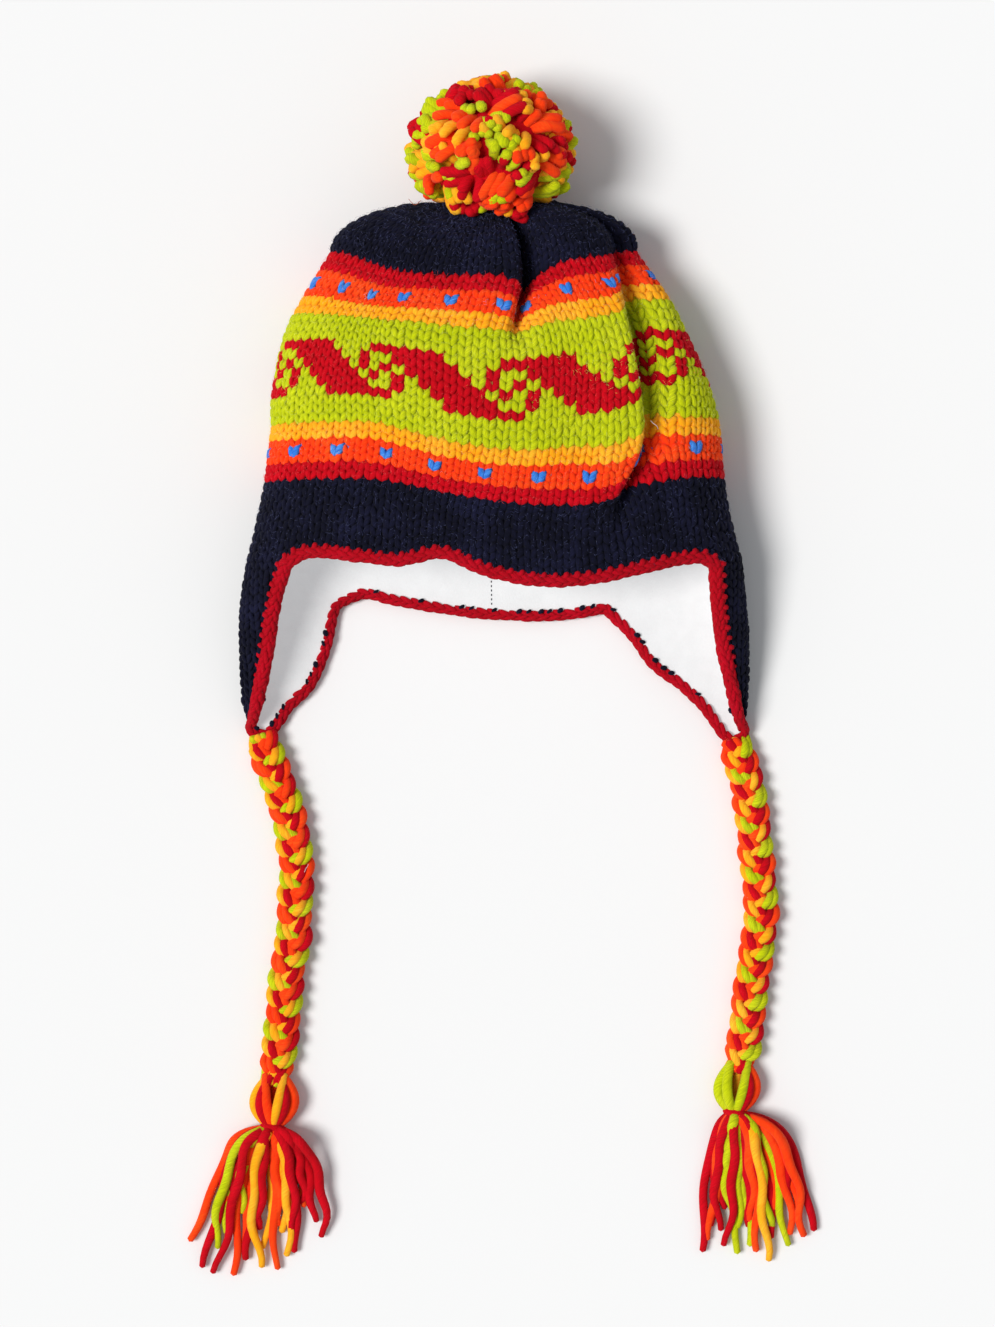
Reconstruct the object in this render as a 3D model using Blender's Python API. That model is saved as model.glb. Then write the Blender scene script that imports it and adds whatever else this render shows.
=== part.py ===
"""A hand-knitted ear-flap hat with a pompom and two braided ties, lying on its back.

+X runs across the hat, +Y from the brow to the pompom and +Z up from the surface it lies on.
The front of the knitted wall faces up. Stitches are counted round the hat from its left side,
first over the front and then under the back. Rows are counted from the rim up to the crown.
"""

import math
from collections import namedtuple

import bmesh
import bpy
import numpy as np
from mathutils import Vector
from mathutils.bvhtree import BVHTree

# Knitted wall, in metres
HALF_WIDTH = 0.1333
RIM_Y = -0.0772
CROWN_LENGTH = 0.1850
FLAP_LENGTH = 0.0900
LYING_HEIGHT = 0.0740
FRONT_SAG = 0.0150
BACK_SAG = 0.0255
FOLD_DEPTH = 0.0130
FOLD_WIDTH = 0.0095
GATHER_DEPTH = 0.0012
KNIT_THICKNESS = 0.0040
CLEARANCE = 0.0003

# Lining and edging
LINING_THICKNESS = 0.0018
LINING_SETBACK = 0.0006
EDGING_WIDTH = 0.0046
EDGING_SEAT = 0.0006
EDGING_SIDES = 8

# Pompom
POMPOM_RADIUS = 0.0385
POMPOM_FLATNESS = 0.885
POMPOM_DROOP = 0.0115
POMPOM_SINK = 0.0045
POMPOM_LOCK_HEIGHT = 0.0085
POMPOM_LOCKS = 54
POMPOM_SEAT = 0.0005

# Ties and tassels
TIE_RADIUS = 0.0075
TIE_POINT_GAP = 0.0180
KNOT_RADIUS = 0.0118
LOCK_ROOT_RADIUS = 0.0066
LOCK_TIP_RADIUS = 0.0046
LOCK_LAYER_LIFT = 0.0020
FLOOR_GAP = 0.0002

# Stitches and rows
FRONT_STITCHES = 43
BACK_STITCHES = 37
SHOULDER_ROW = 34
APEX_ROW = 46
GATHERS = 10
FRONT_RIM = (4.6, 39.6)
BACK_RIM = (54.0, 70.5)

# Mesh columns and rows
FLAP_FRONT_COLUMNS = 3
FLAP_BACK_COLUMNS = 5
FRONT_COLUMNS = 26
BACK_COLUMNS = 6
BODY_STEPS = 11
CAP_STEPS = 4
FLAP_STEPS = 8
FLAP_STEP_CROWDING = 1.4
SECTION_POINTS = 241
TUBE_SIDES = 6
LOCK_RINGS = 6

# Each section's sides as shares of HALF_WIDTH and of CROWN_LENGTH above the rim, its heights as
# shares of LYING_HEIGHT, and how far the front and back sag, as shares of the two sags.
Section = namedtuple(
    "Section", "row left_x left_y right_x right_y equator top sag sag_at sag_span back_sag"
)
SECTIONS = (
    Section(0, -0.968, 0.000, 0.973, 0.000, 0.38, 0.93, 0.72, 0.24, 0.78, 1.00),
    Section(4, -0.930, 0.112, 0.930, 0.115, 0.40, 0.97, 0.80, 0.22, 0.77, 0.95),
    Section(8, -0.898, 0.226, 0.902, 0.235, 0.40, 1.00, 0.90, 0.20, 0.75, 0.90),
    Section(15, -0.871, 0.383, 0.879, 0.402, 0.41, 1.00, 0.95, 0.12, 0.75, 0.80),
    Section(18, -0.871, 0.458, 0.846, 0.494, 0.41, 1.00, 1.00, 0.10, 0.75, 0.75),
    Section(24, -0.828, 0.620, 0.756, 0.648, 0.42, 0.98, 0.93, 0.10, 0.80, 0.60),
    Section(27, -0.785, 0.698, 0.693, 0.737, 0.43, 0.95, 0.90, 0.05, 0.85, 0.50),
    Section(34, -0.640, 0.874, 0.560, 0.874, 0.46, 0.86, 1.05, -0.10, 1.05, 0.35),
)
APEX_X_SHARE = -0.012
APEX_HEIGHT_SHARE = 0.53
BACK_SAG_AT = 0.17
BACK_SQUARENESS = 3.0
BACK_PRESS = 1.06
FLAP_CURL = math.radians(70)
FLAP_TIP_CURL = math.radians(-75)

# Each fold across the front: where it lies as a share of the section's half width, how deep it
# is, how high its left lip stands and how far the rows drop in it, as shares of FOLD_DEPTH.
Fold = namedtuple("Fold", "row at depth lip drop")
SIDE_PLEAT = (
    Fold(3, 0.46, 0.00, 0.00, 0.00),
    Fold(6, 0.49, 0.25, 0.10, -0.05),
    Fold(8, 0.52, 0.55, 0.20, -0.20),
    Fold(13, 0.62, 0.85, 0.32, -0.34),
    Fold(18, 0.66, 0.95, 0.34, -0.34),
    Fold(24, 0.70, 1.00, 0.32, -0.26),
    Fold(29, 0.75, 0.85, 0.28, -0.15),
    Fold(34, 0.80, 0.60, 0.20, 0.00),
)
CROWN_TUCK = (
    Fold(25, 0.12, 0.00, 0.00, 0.00),
    Fold(27, 0.13, 0.35, 0.08, 0.20),
    Fold(30, 0.16, 0.80, 0.20, 0.60),
    Fold(34, 0.22, 1.05, 0.30, 0.90),
)

# How many rows the rim rises above row 0 at a stitch
RimLift = namedtuple("RimLift", "row rise")
RIM_LIFT = (
    RimLift(4.6, 0.0),
    RimLift(6.5, 1.2),
    RimLift(11.0, 0.7),
    RimLift(14.0, 0.5),
    RimLift(17.5, 1.9),
    RimLift(21.0, 0.8),
    RimLift(27.0, 0.3),
    RimLift(34.0, 0.7),
    RimLift(38.2, 0.9),
    RimLift(39.6, 0.0),
)

# Each flap's front edge, outer side and back edge: x as shares of HALF_WIDTH, y as shares of
# FLAP_LENGTH below the rim and z as shares of LYING_HEIGHT. Share 0 is the rim.
Flap = namedtuple("Flap", "row front_x front_y front_z side_x side_y side_z back_x back_y")
LEFT_FLAP = (
    Flap(0.22, -0.861, 0.216, 0.54, -0.994, 0.231, 0.35, -0.638, 0.226),
    Flap(0.46, -0.896, 0.463, 0.42, -1.000, 0.462, 0.29, -0.677, 0.472),
    Flap(0.69, -0.935, 0.690, 0.29, -0.996, 0.680, 0.20, -0.737, 0.695),
    Flap(0.84, -0.951, 0.835, 0.20, -0.984, 0.841, 0.12, -0.820, 0.819),
    Flap(0.97, -0.958, 0.945, 0.02, -0.944, 0.972, 0.01, -0.882, 0.955),
)
RIGHT_FLAP = (
    Flap(0.22, 0.886, 0.226, 0.54, 0.988, 0.231, 0.35, 0.567, 0.419),
    Flap(0.46, 0.909, 0.463, 0.42, 1.000, 0.462, 0.29, 0.647, 0.578),
    Flap(0.68, 0.950, 0.677, 0.29, 1.003, 0.677, 0.20, 0.758, 0.701),
    Flap(0.84, 0.968, 0.829, 0.20, 0.998, 0.841, 0.12, 0.841, 0.825),
    Flap(1.00, 0.987, 0.975, 0.02, 0.974, 1.000, 0.01, 0.920, 0.990),
)

# The middle line of each tie on the surface, from its flap to its knot
LEFT_TIE_ROUTE = (
    (-0.1212, -0.1716), (-0.1188, -0.1795), (-0.1146, -0.1903), (-0.1112, -0.2003),
    (-0.1083, -0.2103), (-0.1064, -0.2185), (-0.1052, -0.2266), (-0.1044, -0.2345),
    (-0.1041, -0.2424), (-0.1046, -0.2506), (-0.1052, -0.2587), (-0.1054, -0.2666),
    (-0.1056, -0.2745), (-0.1070, -0.2813), (-0.1084, -0.2881), (-0.1094, -0.2960),
    (-0.1101, -0.3039), (-0.1106, -0.3108), (-0.1112, -0.3176), (-0.1118, -0.3242),
    (-0.1124, -0.3308), (-0.1134, -0.3376), (-0.1148, -0.3444), (-0.1161, -0.3510),
)
RIGHT_TIE_ROUTE = (
    (0.1282, -0.1738), (0.1300, -0.1803), (0.1322, -0.1886), (0.1344, -0.1966),
    (0.1356, -0.2047), (0.1364, -0.2129), (0.1372, -0.2210), (0.1380, -0.2292),
    (0.1390, -0.2371), (0.1398, -0.2450), (0.1404, -0.2532), (0.1406, -0.2613),
    (0.1400, -0.2680), (0.1390, -0.2745), (0.1380, -0.2813), (0.1370, -0.2881),
    (0.1358, -0.2947), (0.1348, -0.3013), (0.1342, -0.3081), (0.1336, -0.3150),
    (0.1328, -0.3211), (0.1318, -0.3273), (0.1302, -0.3354), (0.1279, -0.3440),
)

# The middle of each knot on the surface
LEFT_KNOT = (-0.1174, -0.3636)
RIGHT_KNOT = (0.1260, -0.3562)

# The free end of each lock of a tassel, from the knot's middle, and the layer it lies in
Lock = namedtuple("Lock", "x y layer")
LEFT_LOCKS = (
    Lock(-0.0430, -0.0700, 0), Lock(-0.0325, -0.0800, 0), Lock(-0.0245, -0.0870, 0),
    Lock(-0.0140, -0.0880, 0), Lock(-0.0040, -0.0870, 0), Lock(0.0060, -0.0820, 0),
    Lock(0.0165, -0.0770, 0), Lock(0.0270, -0.0670, 0), Lock(-0.0290, -0.0690, 1),
    Lock(-0.0130, -0.0740, 1), Lock(0.0020, -0.0720, 1), Lock(0.0140, -0.0630, 1),
)
RIGHT_LOCKS = (
    Lock(-0.0160, -0.0810, 0), Lock(-0.0075, -0.0790, 0), Lock(0.0020, -0.0850, 0),
    Lock(0.0105, -0.0880, 0), Lock(0.0185, -0.0890, 0), Lock(0.0270, -0.0810, 0),
    Lock(0.0350, -0.0750, 0), Lock(0.0420, -0.0730, 0), Lock(-0.0070, -0.0670, 1),
    Lock(0.0060, -0.0730, 1), Lock(0.0190, -0.0740, 1), Lock(0.0300, -0.0660, 1),
)


def read_between(table, row):
    """A table's values at a row between its own rows, along a smooth curve."""
    rows = [entry.row for entry in table]
    if row <= rows[0]:
        return table[0]
    if row >= rows[-1]:
        return table[-1]
    below = max(index for index, value in enumerate(rows) if value <= row)
    values = np.array([list(entry) for entry in table], float)

    def slope(index):
        first, last = max(0, index - 1), min(len(rows) - 1, index + 1)
        return (values[last] - values[first]) / (rows[last] - rows[first])

    span = rows[below + 1] - rows[below]
    t = (row - rows[below]) / span
    result = (2 * t**3 - 3 * t**2 + 1) * values[below]
    result = result + (t**3 - 2 * t**2 + t) * span * slope(below)
    result = result + (-2 * t**3 + 3 * t**2) * values[below + 1]
    result = result + (t**3 - t**2) * span * slope(below + 1)
    return type(table[0])(*result)


def unit(vectors):
    return vectors / np.linalg.norm(vectors, axis=-1, keepdims=True)


def bell(share, at, reach):
    """1 at a share of the width, falling smoothly to 0 a reach away."""
    return np.cos(np.clip((share - at) / reach, -1, 1) * math.pi / 2) ** 2


def fold_front(x, y, z, middle, half_width, row):
    """Presses the two folds into a front section: a valley, and a lip on its left."""
    for fold_table in (SIDE_PLEAT, CROWN_TUCK):
        if row < fold_table[0].row:
            continue
        fold = read_between(fold_table, row)
        away = (x - middle - fold.at * half_width) / FOLD_WIDTH
        valley = np.exp(-((away - 0.6) ** 2))
        lip = np.exp(-(((away + 1.2) / 1.3) ** 2))
        z = z - FOLD_DEPTH * fold.depth * valley + FOLD_DEPTH * fold.lip * lip
        y = y - FOLD_DEPTH * fold.drop * np.exp(-(((away - 0.5) / 1.2) ** 2))
        x = x + 0.45 * FOLD_WIDTH * fold.depth * np.exp(-(away**2))
    return x, y, z


def section_at(row):
    """The wall's outside at a row up to the shoulder: its front and its back, each left to right."""
    section = read_between(SECTIONS, row)
    left, right = section.left_x * HALF_WIDTH, section.right_x * HALF_WIDTH
    left_y = RIM_Y + section.left_y * CROWN_LENGTH
    right_y = RIM_Y + section.right_y * CROWN_LENGTH
    middle, half_width = (left + right) / 2, (right - left) / 2
    equator, top = section.equator * LYING_HEIGHT, section.top * LYING_HEIGHT
    angle = np.linspace(0, math.pi, SECTION_POINTS)
    share = -np.cos(angle)
    chord = left_y + (right_y - left_y) * (share + 1) / 2

    sag = bell(share, section.sag_at, section.sag_span) * np.sin(angle) ** 0.5
    x = middle + half_width * share
    y = chord - FRONT_SAG * section.sag * sag
    z = equator + (top - equator) * np.sin(angle)
    front = np.stack(fold_front(x, y, z, middle, half_width, row), 1)

    power = 2 / BACK_SQUARENESS
    back_share = np.sign(share) * np.abs(share) ** power
    reach = np.where(back_share > BACK_SAG_AT, 1 - BACK_SAG_AT, 1 + BACK_SAG_AT)
    droop = np.cos((back_share - BACK_SAG_AT) / reach * math.pi / 2) ** 1.2
    y = left_y + (right_y - left_y) * (back_share + 1) / 2 - BACK_SAG * section.back_sag * droop
    z = np.maximum(equator * (1 - BACK_PRESS * np.sin(angle) ** power), 0)
    back = np.stack([middle + half_width * back_share, y, z], 1)
    return front, back


def at_shares(line, shares):
    """Points at shares of a line's own length."""
    along = np.concatenate([[0], np.cumsum(np.linalg.norm(np.diff(line, axis=0), axis=1))])
    return np.stack([np.interp(np.asarray(shares) * along[-1], along, line[:, k]) for k in range(3)], 1)


def ring_at(row, stitches):
    """Points of the wall's outside at stitches round the hat, at a row up to the shoulder."""
    front, back = section_at(row)
    round_hat = np.asarray(stitches) % (FRONT_STITCHES + BACK_STITCHES)
    on_front = round_hat <= FRONT_STITCHES
    front_points = at_shares(front, np.clip(round_hat / FRONT_STITCHES, 0, 1))
    back_points = at_shares(back, np.clip(1 - (round_hat - FRONT_STITCHES) / BACK_STITCHES, 0, 1))
    return np.where(on_front[:, None], front_points, back_points)


def shoulder_centre():
    ring = ring_at(SHOULDER_ROW, np.arange(FRONT_STITCHES + BACK_STITCHES))
    return (ring.max(0) + ring.min(0)) / 2


def apex():
    return np.array([APEX_X_SHARE * HALF_WIDTH, RIM_Y + CROWN_LENGTH, APEX_HEIGHT_SHARE * LYING_HEIGHT])


def cap_ring(row, stitches):
    """A ring above the shoulder, drawn in to the gathered top along a quarter ellipse."""
    turn = (row - SHOULDER_ROW) / (APEX_ROW - SHOULDER_ROW) * math.pi / 2
    middle = shoulder_centre()
    centre = middle + (apex() - middle) * math.sin(turn)
    ring = ring_at(SHOULDER_ROW, stitches)
    gather = 0.5 - 0.5 * np.cos(2 * math.pi * GATHERS * stitches / (FRONT_STITCHES + BACK_STITCHES))
    outward = (ring - middle) / np.linalg.norm(ring - middle, axis=1)[:, None]
    ring = centre + (ring - middle) * math.cos(turn)
    return ring - outward * (GATHER_DEPTH * math.sin(2 * turn) * gather)[:, None]


def rim_rise(stitches):
    inside = (stitches > FRONT_RIM[0]) & (stitches < FRONT_RIM[1])
    rise = np.array([read_between(RIM_LIFT, stitch).rise for stitch in stitches])
    return np.where(inside, rise, 0.0)


def body_ring(row, stitches):
    """A ring of the crown, whose lowest rows follow the lifted rim."""
    if row >= SHOULDER_ROW:
        return cap_ring(row, stitches)
    lifted = row + rim_rise(stitches) * max(0.0, 1 - row / 8)
    if row >= 8:
        return ring_at(row, stitches)
    return np.array([ring_at(lift, [stitch])[0] for lift, stitch in zip(lifted, stitches)])


def flap_station(corners):
    """The entry of a flap's table that has its front edge, outer side and back edge at three points."""
    lengths = np.array([HALF_WIDTH, -FLAP_LENGTH, LYING_HEIGHT])
    front, side, back = (corners - [0, RIM_Y, 0]) / lengths
    return Flap(0.0, *front, *side, *back[:2])


def flap_corners(flap):
    """A flap station's front edge, outer side and back edge as points."""
    lengths = np.array([HALF_WIDTH, -FLAP_LENGTH, LYING_HEIGHT])
    shares = np.array([
        (flap.front_x, flap.front_y, flap.front_z),
        (flap.side_x, flap.side_y, flap.side_z),
        (flap.back_x, flap.back_y, 0),
    ])
    return shares * lengths + [0, RIM_Y, 0]


def flap_ring(table, rim_arc, outer_index, share):
    """The arc that a flap has at the rim, fitted to the three points that it has further down."""
    rim_corners = rim_arc[[0, outer_index, -1]]
    stations = (flap_station(rim_corners), *table)
    corners = flap_corners(read_between(stations, share))
    plane = np.stack([rim_corners[:, 0], rim_corners[:, 2], np.ones(3)])
    arc = np.stack([rim_arc[:, 0], rim_arc[:, 2], np.ones(len(rim_arc))])
    ring = np.linalg.solve(plane, arc).T @ corners
    ring[:, 2] = np.maximum(ring[:, 2], 0)
    return ring


def columns_round_hat():
    """The stitches where the mesh has its columns, from the hat's left side over the front."""
    total = FRONT_STITCHES + BACK_STITCHES
    stretches = (
        (0, FRONT_RIM[0], FLAP_FRONT_COLUMNS),
        (*FRONT_RIM, FRONT_COLUMNS),
        (FRONT_RIM[1], FRONT_STITCHES, FLAP_FRONT_COLUMNS),
        (FRONT_STITCHES, BACK_RIM[0], FLAP_BACK_COLUMNS),
        (*BACK_RIM, BACK_COLUMNS),
        (BACK_RIM[1], total, FLAP_BACK_COLUMNS),
    )
    return np.concatenate([np.linspace(a, b, count, endpoint=False) for a, b, count in stretches])


def flap_columns():
    """The columns of the left and the right flap, each from its front edge to its back edge."""
    count = len(columns_round_hat())
    left = [k % count for k in range(FLAP_FRONT_COLUMNS, -FLAP_BACK_COLUMNS - 1, -1)]
    first = FLAP_FRONT_COLUMNS + FRONT_COLUMNS
    right = list(range(first, first + FLAP_FRONT_COLUMNS + FLAP_BACK_COLUMNS + 1))
    return left, right


class Sheet:
    """The wall's outside as a mesh of triangles, with its open edge as one closed loop of points."""

    def __init__(self):
        self.points = []
        self.faces = []
        self.edge = []
        self.flap_rings = []
        self.normals = None

    def add_ring(self, ring):
        first = len(self.points)
        self.points.extend(np.asarray(ring, float))
        return list(range(first, len(self.points)))

    def add_quad(self, a, b, c, d):
        self.faces += [(a, b, c), (a, c, d)]


def hat_sheet():
    """The outside of the knitted wall: rings of the crown, the gathered end, and both flaps."""
    sheet = Sheet()
    stitches = columns_round_hat()
    count = len(stitches)
    rows = [*np.linspace(0, SHOULDER_ROW, BODY_STEPS + 1)]
    rows += [*np.linspace(SHOULDER_ROW, APEX_ROW, CAP_STEPS + 1)[1:-1]]
    rings = [sheet.add_ring(body_ring(row, stitches)) for row in rows]
    for lower, upper in zip(rings, rings[1:]):
        for k in range(count):
            sheet.add_quad(lower[k], lower[(k + 1) % count], upper[(k + 1) % count], upper[k])
    pole = sheet.add_ring([apex()])[0]
    for k in range(count):
        sheet.faces.append((rings[-1][k], rings[-1][(k + 1) % count], pole))

    left_columns, right_columns = flap_columns()
    left = add_flap(sheet, LEFT_FLAP, [rings[0][k] for k in left_columns], turned=True)
    right = add_flap(sheet, RIGHT_FLAP, [rings[0][k] for k in right_columns], turned=False)
    front_rim = rings[0][left_columns[0] + 1:right_columns[0]]
    back_rim = rings[0][right_columns[-1] + 1:left_columns[-1]]
    sheet.points = np.array(sheet.points)
    sheet.edge = front_rim + right + back_rim + left[::-1]
    sheet.normals = normals_of(sheet)
    return sheet


def add_flap(sheet, table, rim, turned):
    """Adds a flap below the rim and gives its free edge, from the front down to the tip and back."""
    arc = np.array([sheet.points[k] for k in rim])
    rings = [rim]
    for step in range(1, FLAP_STEPS + 1):
        share = 1 - (1 - step / FLAP_STEPS) ** FLAP_STEP_CROWDING
        ring = flap_ring(table, arc, FLAP_FRONT_COLUMNS, share * table[-1].row)
        rings.append(sheet.add_ring(ring))
        sheet.flap_rings.append((rings[-1], share))
    for upper, lower in zip(rings, rings[1:]):
        for k in range(len(rim) - 1):
            quad = (upper[k], upper[k + 1], lower[k + 1], lower[k])
            sheet.add_quad(*(quad if turned else quad[::-1]))
    front = [ring[0] for ring in rings]
    back = [ring[-1] for ring in rings]
    return front[:-1] + rings[-1] + back[-2::-1]


def normals_of(sheet):
    """The outward direction at each point, from the faces round it."""
    normals = np.zeros((len(sheet.points), 3))
    for face in sheet.faces:
        corners = sheet.points[list(face)]
        turn = np.cross(corners[1] - corners[0], corners[2] - corners[0])
        for index in face:
            normals[index] += turn
    normals = unit(normals)
    for ring, share in sheet.flap_rings:
        normals[ring] = ease_flap_normals(sheet.points[ring], normals[ring], share)
    return normals


def ease_flap_normals(ring, normals, share):
    """Near its tip a flap is too narrow for its thickness to follow its curl, so the turn is even."""
    along = np.concatenate([[0], np.cumsum(np.linalg.norm(np.diff(ring, axis=0), axis=1))])
    front_angle = FLAP_CURL + (FLAP_TIP_CURL - FLAP_CURL) * share**2.2
    angle = front_angle + (-math.pi / 2 - front_angle) * along / along[-1]
    outward = math.copysign(1, ring[0][0])
    even = np.stack([outward * np.cos(angle), 0 * angle, np.sin(angle)], 1)
    weight = min(1.0, max(0.0, (share - 0.3) / 0.4))
    return unit((1 - weight) * normals + weight * even)


def mesh_object(name, points, faces, material):
    """A smooth-shaded object of these points and faces."""
    mesh = bpy.data.meshes.new(name)
    mesh.from_pydata([tuple(point) for point in points], [], faces)
    mesh.materials.append(material)
    mesh.shade_smooth()
    obj = bpy.data.objects.new(name, mesh)
    bpy.context.scene.collection.objects.link(obj)
    return obj


def wall_object(name, sheet, outer_depth, inner_depth, setback, material):
    """A closed wall between two depths under the sheet, whose open edge is set back along it."""
    count = len(sheet.points)
    points = sheet.points.copy()
    points[sheet.edge] -= edging_path(sheet, 0)[1] * setback
    outer = points - sheet.normals * outer_depth
    inner = points - sheet.normals * inner_depth
    faces = list(sheet.faces)
    faces += [tuple(index + count for index in reversed(face)) for face in sheet.faces]
    for start, end in zip(sheet.edge, sheet.edge[1:] + sheet.edge[:1]):
        faces.append((end, start, start + count, end + count))
    return mesh_object(name, np.concatenate([outer, inner]), faces, material)


def edging_path(sheet, depth):
    """The edging's middle line, and at each point the directions out of the wall's edge and surface."""
    points = sheet.points[sheet.edge] - sheet.normals[sheet.edge] * depth
    normals = sheet.normals[sheet.edge]
    ahead = unit(np.roll(points, -1, 0) - points)
    behind = np.roll(ahead, 1, 0)
    out_ahead, out_behind = unit(np.cross(ahead, normals)), unit(np.cross(behind, normals))
    outward = unit(out_ahead + out_behind)
    stretch = 1 / np.maximum(np.sum(outward * out_ahead, 1), 0.5)
    return points, outward, normals, stretch


def crochet_edging(sheet, material):
    """A cord of oval section that covers the edge of the wall and of its lining, all the way round."""
    thickness = KNIT_THICKNESS + CLEARANCE + LINING_THICKNESS
    points, outward, normals, stretch = edging_path(sheet, thickness / 2)
    middle = points + outward * (stretch * (EDGING_WIDTH / 2 + EDGING_SEAT))[:, None]
    angles = np.arange(EDGING_SIDES) * 2 * math.pi / EDGING_SIDES
    rings = [
        middle + outward * (stretch * EDGING_WIDTH / 2 * math.cos(angle))[:, None]
        + normals * (thickness / 2 * math.sin(angle))
        for angle in angles
    ]
    rings = np.stack(rings, 1)
    rings[:, :, 2] = np.maximum(rings[:, :, 2], 0)
    faces = tube_faces(len(rings), EDGING_SIDES, True)
    return mesh_object("crochet_edging", rings.reshape(-1, 3), faces, material)


def tube_faces(rings, sides, closed):
    """The faces of a tube of so many rings, either closed on itself or with flat ends."""
    faces = []
    for ring in range(rings if closed else rings - 1):
        first, second = ring * sides, (ring + 1) % rings * sides
        for k in range(sides):
            after = (k + 1) % sides
            faces.append((first + k, second + k, second + after, first + after))
    if not closed:
        faces.append(tuple(range(sides)))
        faces.append(tuple(reversed(range((rings - 1) * sides, rings * sides))))
    return faces


def even_directions(count):
    """Directions spread evenly over a ball, along a spiral."""
    turn = math.pi * (3 - math.sqrt(5))
    heights = 1 - (np.arange(count) + 0.5) * 2 / count
    radii = np.sqrt(1 - heights**2)
    angles = np.arange(count) * turn
    return np.stack([radii * np.cos(angles), radii * np.sin(angles), heights], 1)


def lock_reach(directions):
    """How far the ball reaches in each direction, with a rounded dome over each lock."""
    nearest = np.arccos(np.clip(np.max(directions @ even_directions(POMPOM_LOCKS).T, axis=1), -1, 1))
    half_angle = math.acos(1 - 2 / POMPOM_LOCKS)
    dome = np.sqrt(np.clip(1 - (nearest / (1.35 * half_angle)) ** 2, 0, 1))
    squash = np.linalg.norm(directions * [1, POMPOM_FLATNESS, 1], axis=1)
    return (POMPOM_RADIUS + POMPOM_LOCK_HEIGHT * dome) * squash


def press_on_crown(centre, places, faces, crown):
    """Draws a ball's points in until its faces clear the crown that it is sewn to."""
    for _ in range(60):
        crossing = set()
        for face in faces:
            corners = places[face]
            samples = [*corners, *((corners + np.roll(corners, 1, 0)) / 2), corners.mean(0)]
            for sample in samples:
                ray = sample - centre
                hit = crown.ray_cast(Vector(centre), Vector(ray))[3]
                if hit is not None and hit < np.linalg.norm(ray) + POMPOM_SEAT:
                    crossing.update(face)
                    break
        if not crossing:
            return
        drawn = sorted(crossing)
        places[drawn] = centre + (places[drawn] - centre) * (1 - POMPOM_SEAT / POMPOM_RADIUS)


def pompom(sheet, material):
    """A ball of rounded locks fused to their middle, pressed on the crown's end and on the surface."""
    centre = apex() + [0, POMPOM_RADIUS - POMPOM_DROOP, 0]
    centre[2] = POMPOM_RADIUS + POMPOM_SINK
    ball = bmesh.new()
    bmesh.ops.create_icosphere(ball, subdivisions=4, radius=1)
    directions = unit(np.array([vert.co for vert in ball.verts]))
    faces = [[vert.index for vert in face.verts] for face in ball.faces]
    ball.free()
    places = centre + directions * lock_reach(directions)[:, None]
    crown = BVHTree.FromPolygons([Vector(point) for point in sheet.points], sheet.faces)
    press_on_crown(centre, places, faces, crown)
    places[:, 2] = np.maximum(places[:, 2], 0)
    return mesh_object("pompom", places, faces, material)


def smooth_line(points, spacing):
    """Points about a spacing apart on a smooth curve through hand-chosen points."""
    points = np.array(points, float)
    before = np.concatenate([[2 * points[0] - points[1]], points[:-1]])
    after = np.concatenate([points[1:], [2 * points[-1] - points[-2]]])
    slopes = (after - before) / 2
    line = []
    for k in range(len(points) - 1):
        for t in np.linspace(0, 1, 8, endpoint=False):
            place = (2 * t**3 - 3 * t**2 + 1) * points[k] + (t**3 - 2 * t**2 + t) * slopes[k]
            line.append(place + (-2 * t**3 + 3 * t**2) * points[k + 1] + (t**3 - t**2) * slopes[k + 1])
    line = np.array([*line, points[-1]])
    length = np.linalg.norm(np.diff(line, axis=0), axis=1).sum()
    return at_shares(line, np.linspace(0, 1, max(2, round(length / spacing) + 1)))


def tie(name, route, material):
    """A braid as a plain round cord that lies on the surface."""
    height = TIE_RADIUS + FLOOR_GAP
    line = smooth_line([(x, y, height) for x, y in route], TIE_POINT_GAP)
    curve = bpy.data.curves.new(name, "CURVE")
    curve.dimensions = "3D"
    curve.bevel_depth = TIE_RADIUS
    curve.bevel_resolution = 2
    curve.use_fill_caps = True
    spline = curve.splines.new("POLY")
    spline.points.add(len(line) - 1)
    for point, place in zip(spline.points, line):
        point.co = (*place, 1)
    curve.materials.append(material)
    obj = bpy.data.objects.new(name, curve)
    bpy.context.scene.collection.objects.link(obj)
    return obj


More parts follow.
